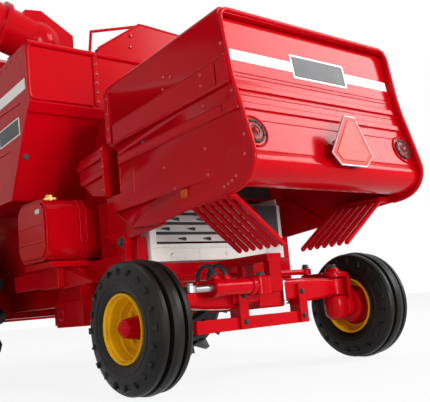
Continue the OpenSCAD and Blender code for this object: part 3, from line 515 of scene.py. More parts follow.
class COMBINE_OT_rear_panel_trim(bpy.types.Operator):
    """White stripe, bare plate, seams and tail lamps on the rear panel."""

    bl_idname = "combine.rear_panel_trim"
    bl_label = "Rear panel trim"

    stripe_spans = ((-56.6, -22.6), (15.4, 56.6))
    # Height and radius of each pressed line.
    lines = ((134.2, 0.3), (132.4, 0.3), (123.4, 0.25), (111.8, 0.3), (97.6, 0.35))
    plate_x, plate_z = -3.6, 143
    lamp_x, lamp_z = 51.9, 106.3
    lens_rings = ((4.3, -0.2), (4.3, 0.5), (3.7, 0.8), (3.3, 0.6), (2.8, 0.85), (2.3, 0.65), (1.5, 0.9), (1.2, 1.4),
                  (0.6, 1.65), (0, 1.7))
    collar = ((5.3, -0.3), (5.4, 0.6), (5, 1), (4.6, 1), (4.25, 0.6), (4.25, -0.3))

    def execute(self, context):
        low = sizes_of().stripe_low * 1000
        high = low + sizes_of().stripe_h * 1000
        mid = (low + high) / 2
        stripe = Shape()
        for x0, x1 in self.stripe_spans:
            stripe.plate(rounded(x1 - x0, high - low, 0.2, 1), at((x0 + x1) / 2, panel_y(mid) - 0.05, mid),
                         -LEFT, PANEL_UP, 0.22, 0.05)
        stripe.piece("rear_stripe", "white_paint")
        x, y, z = self.plate_x, panel_y(self.plate_z), self.plate_z
        rim = Shape().plate(rounded(38.6, 12.4, 0.3, 1), at(x, y - 0.05, z), -LEFT, PANEL_UP, 0.3, 0.1)
        rim.piece("badge_plate_edge", "white_paint")
        badge = Shape().plate(rounded(36.4, 10.4, 0.3, 1), at(x, y + 0.1, z), -LEFT, PANEL_UP, 0.34, 0.12)
        badge.piece("badge_plate", "dark_paint")
        seams = Shape()
        for z, r in self.lines:
            seams.tube([at(-55 + 11 * k, panel_y(z) - 0.05, z) for k in range(11)], r, 8)
        seams.piece("panel_seams")
        out = way(0, 17, 4.4)
        surround, lens, collars = Shape(), Shape(), Shape()
        for s in (1, -1):
            foot = at(s * self.lamp_x, panel_y(self.lamp_z) + 0.05, self.lamp_z)
            surround.turned([(7, -0.3), (7.5, 0.35), (7.1, 0.75), (6.6, 0.35), (6.7, -0.3)], foot, out, 40, True)
            lens.turned(self.lens_rings, foot, out, 40)
            collars.turned(self.collar, foot, out, 48, True)
            collars.turned([(2.2, 0.6), (2.5, 1), (2.8, 0.7), (2.5, 0.5)], foot, out, 32, True)
            for c, t in turns(8, math.radians(22.5)):
                spot = foot + out * 0.0009 + (LEFT * c + out.cross(LEFT) * t) * 0.0048
                collars.turned([(0.45, -0.1), (0.45, 0.3), (0.25, 0.5), (0, 0.55)], spot, out, 8)
        surround.piece("lamp_surrounds")
        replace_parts(lens.piece("lamp_lens_rings", "red_lens"), "lamp_lenses")
        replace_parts(collars.piece("lamp_collars", "black_plastic"), "lamp_bezels")
        return {"FINISHED"}


class COMBINE_OT_triangle_trim(bpy.types.Operator):
    """The slow vehicle triangle: plate, silver frame, inner field, bracket and its fixing screws."""

    bl_idname = "combine.triangle_trim"
    bl_label = "Slow vehicle triangle"

    outline = ((-14.2, -5.6), (-8.8, -10.8), (8.8, -10.8), (14.2, -5.6), (3.6, 12), (-3.6, 12))
    middle = (-1.4, 266.8, 104)

    def execute(self, context):
        x, y, z = self.middle
        plate = Shape().plate(self.outline, at(x, y, z), -LEFT, UP, 1, 0.25)
        plate.plate(rounded(9, 8, 1), at(x + 1.5, 261.4, 102), -LEFT, UP, 5.8, 0.4)
        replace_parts(plate.piece("triangle_plate", "warning_red", paint="warning_band"), "slow_triangle")
        frame_bar = Shape().tube([at(x - a, y + 0.8, z + b) for a, b in self.outline], 0.42, 8, True)
        frame_bar.piece("triangle_frame", "steel")
        field = Shape().plate(shrunk(self.outline, 2.3), at(x, y + 0.95, z), -LEFT, UP, 0.4, 0.12)
        field.piece("triangle_field", "warning_red")
        screws = Shape()
        for spot in (101, 104.2):
            screws.bolt(at(x + 6, 264.6, spot), LEFT, 0.9, 1.2)
        screws.piece("triangle_screws", "black_plastic")
        return {"FINISHED"}


class COMBINE_OT_windrow_combs(bpy.types.Operator):
    """Combs of round-nosed windrow rods on their bars, with the clamp bolts at their roots."""

    bl_idname = "combine.windrow_combs"
    bl_label = "Windrow rods"

    count = 7
    rod_r = 1.3
    first_y, spread = 213, 29.5
    root_x, root_z = 52, 83.5
    tip_x, tip_z = 22.5, 61.5
    bolts_y = (213, 227, 241)
    nose = ((1, -0.1), (0.9, 0.5), (0.57, 0.95), (0, 1.15))

    def execute(self, context):
        r = self.rod_r
        nose = [(r * wide, h) for wide, h in self.nose]
        for tag, s in SIDES:
            rods = Shape().plate(rounded(9, 33, 1.2), at(s * 54.4, 227, 81.9), LEFT, BACK, 3.2, 0.5)
            for i in range(self.count):
                y = self.first_y + self.spread * i / (self.count - 1)
                root, tip = at(s * self.root_x, y, self.root_z), at(s * self.tip_x, y - 1.5, self.tip_z)
                rods.tube([root + (tip - root) * k / 6 for k in range(7)], r, 12)
                rods.turned(nose, tip, (tip - root).normalized(), 12)
            for y in self.bolts_y:
                rods.bolt(at(s * 51.2, y, 82), way(-s * 0.3, 0, -1), 1, 1.2)
            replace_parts(rods.piece("windrow_comb_" + tag), "windrow_fingers")
        return {"FINISHED"}


class COMBINE_OT_shoe_trim(bpy.types.Operator):
    """Dark hook wedges painted as the shadows of the louvre clips, dark strips painted as the shade in the gaps
    between louvres, tailboard seams and bosses, and the dark screen of the cleaning shoe.
    """

    bl_idname = "combine.shoe_trim"
    bl_label = "Cleaning shoe trim"

    # Places and outline of the dark wedges that paint the louvre clips' shadows.
    first_hook, hook_step, hook_reach = 34.5, 17, (-28, 44)
    bosses_x, seams_x = (34, -3, -34), (-16, 16)
    hook = ((-2.6, 0.1), (2.2, -1.1), (2.8, -0.2), (2.2, 0.9))

    def execute(self, context):
        # Dark wedges at the louvre clips: painted shadows of the clips.
        shade_marks = Shape()
        for i in range(3):
            for k in range(6):
                x = self.first_hook - self.hook_step * (k + (0 if i % 2 else 0.5))
                if self.hook_reach[0] < x < self.hook_reach[1]:
                    spot = at(x, 171.3 - LOUVRE_STEP * i, 72.6 + LOUVRE_RISE * i)
                    shade_marks.plate(self.hook, spot, -LEFT, way(0, -0.5, 0.87), 0.9, 0.2)
        # Dark strips along each louvre's top edge: painted shade in the gaps between the louvres.
        for i in range(4):
            spot = at(8.6, 168.8 - LOUVRE_STEP * i, 75.95 + LOUVRE_RISE * i)
            shade_marks.plate(rounded(72, 1.9, 0.3), spot, -LEFT, way(0, -0.56, 0.83), 0.3, 0.1)
        shade_marks.piece("louvre_painted_shade", "dark_paint")
        clips = Shape()
        for x in self.bosses_x:
            clips.turned([(1.3, -0.4), (1.3, 0.4), (0.8, 0.9), (0, 1)], at(x, SHOE_BACK, 64.2), BACK, 12)
        clips.piece("louvre_clips", "white_paint")
        seams = Shape()
        for x in self.seams_x:
            seams.tube([at(x, SHOE_BACK + 0.02, 61.4 + 1.7 * k) for k in range(6)], 0.22, 8)
        seams.tube([at(-46 + 9.2 * k, SHOE_BACK + 0.05, 67.8) for k in range(11)], 0.35, 8)
        seams.piece("tailboard_seams", "white_paint")
        screen = Shape().plate(rounded(15, 23, 0.6), at(-37, SHOE_BACK + 0.1, 80), -LEFT, UP, 0.6, 0.15)
        screen.piece("shoe_screen", "dark_paint", paint="screen_mesh")
        return {"FINISHED"}


class COMBINE_OT_tank_trim(bpy.types.Operator):
    """Seams, rivets, stripes and bare plates on the grain tank and its gable."""

    bl_idname = "combine.tank_trim"
    bl_label = "Grain tank trim"

    back_rim = ((44.6, 157.2), (81.4, 157), (83.4, 158.4), (83.9, 161), (83.9, 184), (83, 187.2), (80.4, 188.6),
                (44.6, 188.6))
    rivets_z = (188, 182.3, 176.2, 170.7, 165, 159.4)
    gable_bolts = ((13.4, 206), (14.1, 198.8), (-62, 206), (-62, 198.8))
    low_seam = ((34, 105.2), (94, 105.2), (107.5, 131), (119, 152))
    gable = ((37, 190.5), (37, 194), (6, 215), (-1, 214.7), (-70, 211), (-82, 200), (-82, 190.5))

    def execute(self, context):
        heads = Shape()
        for s in (1, -1):
            for z in self.rivets_z:
                heads.rivet(at(s * 41.4, TANK_BACK + 0.9, z), BACK, 1)
            for k in range(13):
                heads.rivet(at(s * TANK_HALF, 115 - 7 * k, 186.4 - 7 * k * 0.16), LEFT * s)
        for x, z in self.gable_bolts:
            heads.bolt(at(x, 120, z), BACK, 0.9, 1.1)
        heads.piece("tank_rivets", paint="rivet_paint")
        seams = Shape()
        for s in (1, -1):
            seams.tube([at(s * x, TANK_BACK, z) for x, z in self.back_rim], 1.1, 10)
            seams.tube([at(s * (47 + 4.2 * k), 118.4, 151.6) for k in range(9)], 0.75, 8)
            seams.tube([at(s * TANK_HALF, 24 + 9.5 * k, 155.2 + 0.2 * k) for k in range(10)], 0.6, 8)
            seams.tube([at(s * TANK_HALF, 30 + 8 * k, 132 + 0.1 * k) for k in range(9)], 0.6, 8)
            seams.tube(drawn(s * (TANK_HALF - 0.4), self.low_seam), 0.7, 8)
        seams.piece("tank_seams")
        Shape().bolt(at(80, 105.8, 127.7), way(0, 0.88, -0.47), 1.2, 1.2).piece("tank_boss", "dark_paint")
        stripe, plate, edge = Shape(), Shape(), Shape()
        tilt, rise = way(0, 1, 0.09), way(0, -0.09, 1)
        for s in (1, -1):
            skin = s * (TANK_HALF - 0.05)
            stripe.plate(rounded(88, 6.4, 0.2, 1), at(skin, 74, 162.4), tilt * s, rise, 0.25, 0.06)
            edge.plate(rounded(27, 10.4, 0.4, 1), at(skin, 95, 143.4), tilt * s, rise, 0.3, 0.08)
            plate.plate(rounded(25.4, 8.8, 0.4, 1), at(skin + s * 0.1, 95, 143.4), tilt * s, rise, 0.35, 0.1)
        stripe.piece("tank_stripes", "white_paint")
        edge.piece("tank_plate_edges", "white_paint")
        plate.piece("tank_plates", "dark_paint")
        Shape().tube([at(x, 119.9, z) for x, z in self.gable], 0.7, 8).piece("gable_lip")
        return {"FINISHED"}


class COMBINE_OT_fuel_trim(bpy.types.Operator):
    """Knurled filler cap, strap edges, drain plug and grey plate of the fuel tank."""

    bl_idname = "combine.fuel_trim"
    bl_label = "Fuel tank trim"

    cap_x, cap_y, cap_z, cap_r = 70, 112, 102.2, 3.3
    mid_y, mid_z, half_y, half_z, corner = 113.5, 84, 16.5, 16, 19.6
    strap = 1 + 0.6 / 18

    def execute(self, context):
        x, y, z, r = self.cap_x, self.cap_y, self.cap_z, self.cap_r
        cap = Shape().turned([(r, -0.2), (r, 1.4), (2.6, 1.9), (2.6, 2.8), (1.8, 3.3), (0, 3.4)], at(x, y, z), UP, 24)
        for c, t in turns(16):
            cap.tube([at(x + r * c, y + r * t, z + 0.1 + h) for h in (0, 1.3)], 0.32, 6)
        cap.piece("filler_cap_knurl", "brass")
        plug = Shape().turned([(2.4, -0.3), (2.4, 1.6), (1.9, 2.2), (0, 2.3)], at(54, 116, 100), UP, 16)
        plug.bolt(at(60.5, 130.6, 77), BACK, 1, 1.4)
        plug.piece("fuel_plugs")
        plate = Shape().plate(rounded(4.6, 2.6, 0.4), at(82.9, 122, 94), BACK, UP, 0.4, 0.12)
        plate.piece("fuel_plate", "steel")
        seam = Shape()
        wide, high, r = self.half_y, self.half_z, self.corner
        ring = [(max(-wide, min(wide, r * c)), max(-high, min(high, r * t))) for c, t in turns(48)]
        for x, r, grow in ((81.9, 0.55, 1), (58.6, 0.5, self.strap), (62.4, 0.5, self.strap)):
            seam.tube(drawn(x, [(self.mid_y + y * grow, self.mid_z + z * grow) for y, z in ring]), r, 8, True)
        for z in (78, 87):
            seam.tube([at(83, 99.5 + 4 * k, z) for k in range(8)], 0.45, 8)
        seam.turned([(3.4, -0.4), (3.4, 0.7), (2.6, 1.1), (1.9, 0.9), (1.9, -0.4)], at(62, 104, 39), LEFT, 20, True)
        seam.piece("fuel_seams")
        return {"FINISHED"}


class COMBINE_OT_axle_hardware(bpy.types.Operator):
    """Bolts, pins and washers of the rear axle, each on the body that carries it."""

    bl_idname = "combine.axle_hardware"
    bl_label = "Rear axle hardware"

    def execute(self, context):
        for tag, s in SIDES:
            king = Shape().bolt(at(s * KING_X, REAR_AXLE, 51.3), UP, 2.2, 2.2)
            king.piece("king_bolt_" + tag, "black_plastic", "steering_" + tag)
            nut = Shape().bolt(at(s * KING_X, TIE_Y, 53.6), UP, 1.5, 2)
            nut.piece("tie_nut_" + tag, "black_plastic", "steering_" + tag)
        pins = Shape()
        spot = at(-7.5, 209, 41)
        pins.turned([(0, -7), (0.8, -7), (0.8, 5.2), (0, 5.2)], spot, UP, 12)
        for h in (-6.2, 4.2):
            pins.turned([(0.8, h), (1.7, h), (1.7, h + 0.7), (0.8, h + 0.7)], spot, UP, 16)
        pins.piece("axle_pins", "steel")
        bolts = Shape().bolt(at(13, CYLINDER_Y, 49), UP, 1.7, 1.8)
        for x in (-20.5, 20.5):
            for z in (27.5, 40):
                bolts.bolt(at(x, 209.4, z), BACK, 1, 1.1)
        bolts.piece("axle_bolts", "black_plastic")
        ends = Shape()
        ends.turned([(4.1, 0), (4.35, 0.3), (4.35, 2.6), (4.1, 2.9)], at(41.2, CYLINDER_Y, CYLINDER_Z), LEFT, 24)
        ends.turned([(4.3, 0), (4.7, 0.4), (4.7, 2), (4.3, 2.4)], at(19, CYLINDER_Y, CYLINDER_Z), LEFT, 24)
        for x in (35, 41.5):
            ends.turned([(2, -1.2), (2, 0.9), (1.5, 1.3), (1.4, 1.3)], at(x, CYLINDER_Y, 48.8), UP, 12)
        ends.piece("cylinder_glands")
        return {"FINISHED"}


class COMBINE_OT_axle_casting(bpy.types.Operator):
    """The rear axle's casting with rounded edges: beam, sleeve, tapered arms with eyes, and the cylinder's lug."""

    bl_idname = "combine.axle_casting"
    bl_label = "Rear axle casting"

    arm = ((23, 34), (40, 35), (53.8, 36.6), (53.8, 45.4), (40, 46.3), (23, 47))
    hose_rest = 3.5
    eye = ((2.7, 0), (4.6, 0), (5.1, 0.6), (5.1, 8.8), (4.6, 9.4), (2.7, 9.4))

    def execute(self, context):
        casting = Shape().run([(REAR_AXLE + y, 41.5 + z) for y, z in rounded(15.2, 11, 2.2)], -26, 26)
        casting.run([(REAR_AXLE + y, 41 + z) for y, z in rounded(15.7, 16, 2.6)], -9, 9)
        for s in (1, -1):
            outline = [(-s * x, z) for x, z in self.arm]
            if s > 0:
                outline.reverse()
            casting.plate(outline, at(0, REAR_AXLE - 5, 0), -LEFT, UP, 10, 1.3)
            casting.turned(self.eye, at(s * KING_X, REAR_AXLE, 36.3), UP, 32, True)
        casting.plate(rounded(10, 11.2, 3), at(13, 212.4, 40), LEFT, BACK, 9, 0.9)
        casting.plate(rounded(12.5, 4.4, 1.4), at(38.25, 201, 45), LEFT, BACK, self.hose_rest, 0.5)
        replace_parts(casting.piece("axle_casting"), "axle_beam")
        return {"FINISHED"}


class COMBINE_OT_knuckles(bpy.types.Operator):
    """Rounded steering knuckles: lugs, a domed king post, a web, a spindle and the steering arms."""

    bl_idname = "combine.knuckles"
    bl_label = "Steering knuckles"

    post = ((0, 0), (5.9, 0), (6.2, -0.8), (6.5, -2.5), (6.5, -8.2), (6, -10.4), (4.6, -12), (2.4, -12.7),
            (0, -12.8))
    spindle = ((5.2, 0), (5.2, 4.6), (6, 5.6), (6.2, 8.4), (5.9, 8.9), (3.5, 8.9), (3.5, 26.9), (0, 26.9))
    ram_arm = ((62.6, 200), (65.9, 200), (65.9, 213), (64, 216.2), (60, 217), (56, 217), (54, 215), (54, 212.5),
               (55.5, 211), (60, 211), (62.6, 209))

    def execute(self, context):
        for tag, s in SIDES:
            casting = Shape()

            def king(z):
                return at(s * KING_X, REAR_AXLE, z)

            casting.plate(rounded(15, 12, 5.4), at(s * 58.4, REAR_AXLE, KNUCKLE_TOP), LEFT, BACK, 3, 0.7)
            casting.plate(rounded(6, 26, 2.95, 6), at(s * KING_X, 190, KNUCKLE_TOP + 0.05), LEFT, BACK, 3, 0.6)
            casting.plate(rounded(11, 25, 4), at(s * 62.7, REAR_AXLE, 36.8), BACK * s, UP, 3.2, 0.7)
            casting.turned(self.post, king(35.7), UP, 40)
            casting.turned(self.spindle, king(STEER_R), LEFT * s, 40)
            casting.turned([(2.45, 0), (2.45, 12)], king(35.5), UP, 20)
            casting.turned([(4.2, 0), (4, 1.4), (3.5, 2.2), (0, 2.2)], king(49.2), UP, 28)
            casting.turned([(0, 0), (1.5, 0), (1.5, 7.3), (0, 7.3)], at(s * KING_X, TIE_Y, KNUCKLE_TOP), UP, 16)
            if s > 0:
                casting.plate(self.ram_arm, at(0, 0, 38.7), LEFT, BACK, 4, 0.5)
            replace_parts(casting.piece("knuckle_casting_" + tag, body="steering_" + tag), "knuckle_" + tag)
        return {"FINISHED"}


class COMBINE_OT_steer_wheels(bpy.types.Operator):
    """Dished rims, red hubs, wheel bolts, bulged sidewalls and shoulder wedges of the steered wheels."""

    bl_idname = "combine.steer_wheels"
    bl_label = "Steered wheels"

    sidewall = ((15.4, 7.2), (15.7, 8.3), (16.9, 9.2), (19.2, 9.75), (22, 9.85), (24.5, 9.4), (26.5, 8.5),
                (27.6, 7.4), (26, 7.2), (20, 7.2))
    dish = ((15.6, 8.3), (15.5, 8.9), (15.1, 9.3), (14.6, 9.1), (14.3, 8.4), (14.2, 7.4), (13.6, 6.9), (13.3, 6.2),
            (13.1, 3), (12.6, 2.3), (12.2, 1.9), (12, 0.2), (11.4, -1), (10.4, -1.5), (6.4, -1.5), (3.7, -1.4),
            (3.7, -8.6), (6, -8.6), (6, -2.7), (10.6, -2.7), (12.4, -3.2), (13.4, -4.6), (14, -7),
            (14.3, -8.4), (14.7, -9.1), (15.1, -9.3), (15.5, -8.9), (15.6, -8.3), (15.4, -7.2), (15.4, 7.2))
    hub = ((5.9, -1.7), (5.7, -0.9), (5.3, 1), (4.7, 5), (4.1, 7.6), (3.8, 8.3), (3.1, 8.9), (1.9, 9.4),
           (1.4, 10), (1, 10.5), (0, 10.7))
    # Depth and radius of the bolt circle, in metres, and place of a shoulder mark, in millimetres.
    bolt_in, bolt_ring = -0.0015, 0.0088
    mark_r, mark_out = 25, 9.1
    drum = ((3.8, -9.6), (8, -9.6), (9.2, -9), (9.5, -8.2), (9.6, -4.2), (11.2, -3.3), (11.2, -2.6))

    def execute(self, context):
        marks = sizes_of().shoulder_marks
        for tag, s in SIDES:
            body = "steer_wheel_" + tag
            out = LEFT * s
            mid = at(s * STEER_X, REAR_AXLE, STEER_R)
            cone = Shape().turned(self.hub, mid, out, 32)
            cone.turned(self.drum, mid, out, 48)
            cone.piece("hub_cone_" + tag, body=body)
            nuts = Shape()
            for c, t in turns(8):
                nuts.bolt(mid + Vector((s * self.bolt_in, self.bolt_ring * c, self.bolt_ring * t)), out, 0.85, 1.3)
            nuts.piece("rim_bolts_" + tag, "yellow_paint", body)
            rim = Shape().turned(self.dish, mid, out, 72, True)
            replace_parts(rim.piece("rim_dish_" + tag, "yellow_paint", body), "steer_rim_" + tag)
            wedges = Shape()
            for face in (1, -1):
                side = out * face
                for k in range(marks):
                    a = 2 * math.pi * (k + (0.5 if face < 0 else 0)) / marks
                    radial = Vector((0, math.cos(a), math.sin(a)))
                    flip = 1 if k % 2 else -1
                    outline = [(-1.5, -1.5 * flip), (1.5, -1.5 * flip), (0, 1.6 * flip)]
                    around = radial.cross(side)
                    if flip < 0:
                        outline.reverse()
                    spot = mid + (radial * self.mark_r + side * self.mark_out) / 1000
                    wedges.plate(outline, spot, around, radial, 1.2, 0.4)
                wedges.turned(self.sidewall, mid, side, 72, True)
                wedges.turned([(19.8, 9.7), (20.2, 10.15), (20.6, 9.8), (20.2, 9.5)], mid, side, 72, True)
            wedges.piece("tyre_wedges_" + tag, "tyre", body)
        return {"FINISHED"}


class COMBINE_OT_drive_wheels(bpy.types.Operator):
    """Wheel bolts, rim rings, hub caps and sidewall beads of the drive wheels."""

    bl_idname = "combine.drive_wheels"
    bl_label = "Drive wheels"

    # Height and radius of the bolt circle, in metres.
    bolt_out, bolt_ring = 0.003, 0.0182

    def execute(self, context):
        for tag, s in SIDES:
            body = "drive_wheel_" + tag
            out = LEFT * s
            mid = at(s * DRIVE_X, 0, DRIVE_R)
            nuts = Shape()
            for c, t in turns(10):
                nuts.bolt(mid + Vector((s * self.bolt_out, self.bolt_ring * c, self.bolt_ring * t)), out, 1.1, 1.8)
            nuts.turned([(26.2, 14.6), (26.9, 15.5), (26.2, 16), (25.4, 15.4)], mid, out, 72, True)
            nuts.piece("drive_bolts_" + tag, "yellow_paint", body)
            cap = Shape().turned([(8.4, 4.6), (8.8, 6.2), (7.6, 7.2), (4.4, 8), (3.6, 8.8), (0, 9)], mid, out, 32)
            cap.piece("drive_cap_" + tag, body=body)
            beads = Shape()
            for face in (1, -1):
                for r, h in ((30.2, 15.9), (36, 17.6)):
                    bead = [(r - 0.8, h - 0.5), (r, h + 0.5), (r + 0.8, h - 0.3), (r, h - 0.9)]
                    beads.turned(bead, mid, out * face, 72, True)
            beads.piece("drive_beads_" + tag, "tyre", body)
        return {"FINISHED"}


class COMBINE_OT_cab_trim(bpy.types.Operator):
    """Roof lamps, wiper and window seals of the cab, and the door's seal."""

    bl_idname = "combine.cab_trim"
    bl_label = "Cab trim"

    lamps_x, lamp_y, lamp_z = (-14, 2, 42, 58), -76, 213.5
    front = ((-16, 132), (60, 132), (60, 203), (-16, 203))
    back = ((-16, 152), (60, 152), (60, 200), (-16, 200))
    side = ((-60, 142), (8, 142), (8, 202), (-60, 202))
    door = ((-56, 148), (-14, 148), (-14, 198), (-56, 198))

    def execute(self, context):
        lenses, rims = Shape(), Shape()
        for x in self.lamps_x:
            spot = at(x, self.lamp_y, self.lamp_z)
            lenses.turned([(3.4, -0.3), (3.4, 0.3), (2.6, 0.8), (1.2, 1.1), (0, 1.2)], spot, -BACK, 24)
            rims.turned([(4.3, -1.6), (4.3, 0.4), (3.9, 0.7), (3.4, 0.2)], spot, -BACK, 24)
        lenses.piece("work_lamp_lenses", "glass")
        rims.tube([at(22, -66.6, 206), at(22.4, -67.2, 200), at(30, -67.2, 170)], 0.6, 8)
        rims.plate(rounded(1.4, 34, 0.5), at(32, -66.9, 166), LEFT, UP, 0.9, 0.3)
        for y, outline in ((-66, self.front), (16, self.back)):
            rims.tube([at(x, y, z) for x, z in outline], 0.7, 8, True)
        rims.tube(drawn(-22, self.side), 0.7, 8, True)
        rims.piece("cab_seals", "rubber")
        Shape().tube(drawn(66, self.door), 0.6, 8, True).piece("door_seal", "rubber", "door")
        return {"FINISHED"}


class COMBINE_OT_engine_trim(bpy.types.Operator):
    """Ribs of the rotary screen, the exhaust's rings and rivets of the engine house."""

    bl_idname = "combine.engine_trim"
    bl_label = "Engine trim"

    screen = (-88, -13, 150)
    pipe_x, pipe_y, pipe_top, rings_z = -50, -30, 228.6, (184, 194, 204)
    eaves = 179

    def execute(self, context):
        ribs = Shape()
        centre = at(*self.screen)
        for c, t in turns(18):
            ray = Vector((0, c, t))
            ribs.tube([centre + ray * r for r in (0.005, 0.012, 0.0238)], 0.5, 6)
        for r in (10, 17, 24):
            ribs.turned([(r - 0.5, -0.3), (r, 0.6), (r + 0.5, -0.3)], centre, -LEFT, 64, True)
        ribs.piece("screen_ribs", "dark_paint")
        rings = Shape()
        for z in self.rings_z:
            rings.turned([(5.9, -0.8), (6.5, 0), (5.9, 0.8)], at(self.pipe_x, self.pipe_y, z), UP, 24, True)
        top = at(self.pipe_x, self.pipe_y, self.pipe_top)
        rings.turned([(2.2, -0.6), (3.2, 0), (2.2, 0.6)], top, UP, 24, True)
        rings.piece("exhaust_rings", "steel")
        heads = Shape()
        for k in range(9):
            heads.rivet(at(-84, -41 + 7 * k, self.eaves), -LEFT)
            heads.rivet(at(-81 + 6.3 * k, -44, self.eaves), -BACK)
        heads.piece("engine_rivets")
        return {"FINISHED"}


class COMBINE_OT_header_trim(bpy.types.Operator):
    """Knife sections and rivets of the header, which hangs lowered at rest."""

    bl_idname = "combine.header_trim"
    bl_label = "Header trim"

    pivot = (0, -46, 96)
    half_width = 229
    blades, first_blade, blade_step = 46, -213.75, 9.5
    rivets, first_rivet, rivet_step = 20, -218, 23
    blade = ((-4.2, -4.5), (4.2, -4.5), (0.6, 3.6), (-0.6, 3.6))
    end_rivets = ((-126, 12), (-126, 30), (-126, 50), (-145, 12), (-160, 12), (-180, 12), (-140, 48))

    def execute(self, context):
        pivot = at(*self.pivot)
        carried = Matrix.Rotation(math.radians(HEADER_DROP), 3, "X")

        def low(x, y, z):
            return pivot + carried @ (at(x, y, z) - pivot)

        back = carried @ BACK
        blades = Shape()
        for k in range(self.blades):
            spot = low(self.first_blade + self.blade_step * k, -175, 7)
            blades.plate(self.blade, spot, -LEFT, -back, 0.5, 0.15)
        blades.piece("knife_sections", "steel", "header")
        heads = Shape()
        for s in (1, -1):
            for y, z in self.end_rivets:
                heads.rivet(low(s * self.half_width, y, z), LEFT * s, 1.1)
        for k in range(self.rivets):
            x = self.first_rivet + self.rivet_step * k
            for y, z in ((-119, 20), (-117, 55)):
                heads.rivet(low(x, y, z), back, 0.9)
        heads.piece("header_rivets", body="header")
        return {"FINISHED"}


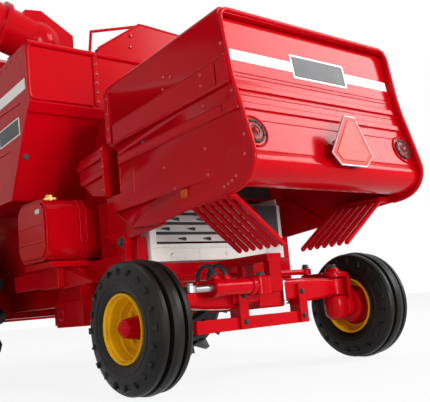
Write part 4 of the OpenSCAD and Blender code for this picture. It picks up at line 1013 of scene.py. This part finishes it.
class COMBINE_OT_stage(bpy.types.Operator):
    """Pale floor, white surroundings, soft lights and the camera."""

    bl_idname = "combine.stage"
    bl_label = "Stage"

    white = (1.0, 1.0, 1.0, 1.0)
    floor = (9000, 9000)
    floor_share = 0.88
    aim = (0, 180, 90)
    # Name, direction from the model, distance and width in metres, and watts.
    lamps = (("rear", (0.1, 0.99, 0.09), 1.3, 0.4, 11.5), ("side", (0.92, 0.25, 0.32), 1.3, 0.9, 2.8),
             ("top", (0.1, -0.3, 0.95), 1.3, 1.2, 4.0))
    focal, sensor = 58.89, 36.0
    camera_at = (252.16, 463.12, 36.12)
    camera_axes = ((-0.76308, 0.64002, -0.08995), (0.02707, 0.17070, 0.98495), (0.64574, 0.74916, -0.14759))

    def execute(self, context):
        scene = context.scene
        scene.view_settings.view_transform = "Standard"
        world = bpy.data.worlds.new("studio")
        scene.world = world
        world.use_nodes = True
        tree = world.node_tree
        tree.nodes.clear()
        soft = add_node(tree, "Background", {"Color": (0.95, 0.97, 1.0, 1.0), "Strength": 0.3})
        white = add_node(tree, "Background", {"Color": self.white, "Strength": 1.0})
        mix = add_node(tree, "MixShader", feeds={"Fac": self.seen(tree), 1: soft.outputs[0], 2: white.outputs[0]})
        add_node(tree, "OutputWorld", feeds={"Surface": mix.outputs[0]})

        floor = Shape().plate(rounded(*self.floor, 400, 6), Vector((0, 0, -0.0021)), LEFT, BACK, 2.0, 0.5)
        obj = floor.made("studio_floor", self.floor_paint())

        self.lamp("key", (-0.70, 0.56, 0.45), 1.25, 0.5, sizes_of().key_watts)
        for lamp in self.lamps:
            self.lamp(*lamp)

        lens = bpy.data.cameras.new("photo_camera")
        lens.sensor_fit = "HORIZONTAL"
        lens.sensor_width = self.sensor
        lens.lens = self.focal
        lens.clip_start = 0.01
        camera = bpy.data.objects.new("photo_camera", lens)
        turn = Matrix([way(*axis) for axis in self.camera_axes]).transposed().to_4x4()
        camera.matrix_world = Matrix.Translation(at(*self.camera_at)) @ turn
        scene.collection.objects.link(camera)
        scene.camera = camera
        return {"FINISHED"}

    def seen(self, tree):
        """One where the camera, a reflection or a view through glass looks at it."""
        path = add_node(tree, "LightPath").outputs
        either = path["Is Camera Ray"]
        for ray in ("Is Glossy Ray", "Is Transmission Ray"):
            larger = add_node(tree, "Math", feeds={0: either, 1: path[ray]})
            larger.operation = "MAXIMUM"
            either = larger.outputs[0]
        return either

    def floor_paint(self):
        """A matt pale paint that is close to white where it is looked at, and keeps a shadow."""
        mat = bpy.data.materials.new("pale_floor")
        mat.use_nodes = True
        tree = mat.node_tree
        matt = tree.nodes["Principled BSDF"]
        matt.inputs["Base Color"].default_value = (0.86, 0.86, 0.86, 1.0)
        matt.inputs["Roughness"].default_value = 0.7
        matt.inputs["Specular IOR Level"].default_value = 0.1
        glow = add_node(tree, "Emission", {"Color": self.white, "Strength": 1.0})
        share = add_node(tree, "Math", {1: self.floor_share}, {0: self.seen(tree)})
        share.operation = "MULTIPLY"
        mix = add_node(tree, "MixShader", feeds={"Fac": share.outputs[0], 1: matt.outputs[0], 2: glow.outputs[0]})
        tree.links.new(mix.outputs[0], tree.nodes["Material Output"].inputs["Surface"])
        return mat

    def lamp(self, name, direction, far, size, watts):
        """A square lamp that faces the model's rear half."""
        data = bpy.data.lights.new(name, "AREA")
        data.shape = "SQUARE"
        data.size = size
        data.energy = watts
        obj = bpy.data.objects.new(name, data)
        obj.location = at(*self.aim) + way(*direction) * far
        obj.rotation_euler = way(*direction).to_track_quat("Z", "Y").to_euler()
        bpy.context.scene.collection.objects.link(obj)


STEPS = (
    COMBINE_OT_stage, COMBINE_OT_finishes, COMBINE_OT_hood_shell, COMBINE_OT_hood_fasteners, COMBINE_OT_hood_edges,
    COMBINE_OT_rear_panel_trim, COMBINE_OT_triangle_trim, COMBINE_OT_windrow_combs, COMBINE_OT_shoe_trim,
    COMBINE_OT_tank_trim, COMBINE_OT_fuel_trim, COMBINE_OT_axle_hardware, COMBINE_OT_axle_casting,
    COMBINE_OT_knuckles, COMBINE_OT_steer_wheels, COMBINE_OT_drive_wheels, COMBINE_OT_cab_trim,
    COMBINE_OT_engine_trim, COMBINE_OT_header_trim,
)


class COMBINE_PT_dressing(bpy.types.Panel):
    """Lists the model's pieces."""

    bl_idname = "COMBINE_PT_dressing"
    bl_label = "Model combine"
    bl_space_type = "VIEW_3D"
    bl_region_type = "UI"
    bl_category = "Combine"

    def draw(self, context):
        for group in (context.scene.combine_finish, context.scene.combine_sizes):
            for name in group.__annotations__:
                self.layout.prop(group, name)
        for step in STEPS:
            self.layout.operator(step.bl_idname)


CLASSES = (CombineFinish, CombineSizes) + STEPS + (COMBINE_PT_dressing,)


def register():
    for cls in CLASSES:
        bpy.utils.register_class(cls)
    bpy.types.Scene.combine_finish = bpy.props.PointerProperty(type=CombineFinish)
    bpy.types.Scene.combine_sizes = bpy.props.PointerProperty(type=CombineSizes)


def unregister():
    del bpy.types.Scene.combine_sizes
    del bpy.types.Scene.combine_finish
    for cls in reversed(CLASSES):
        bpy.utils.unregister_class(cls)


def main():
    register()
    for step in STEPS:
        group, name = step.bl_idname.split(".")
        getattr(getattr(bpy.ops, group), name)()


if __name__ == "__main__":
    main()
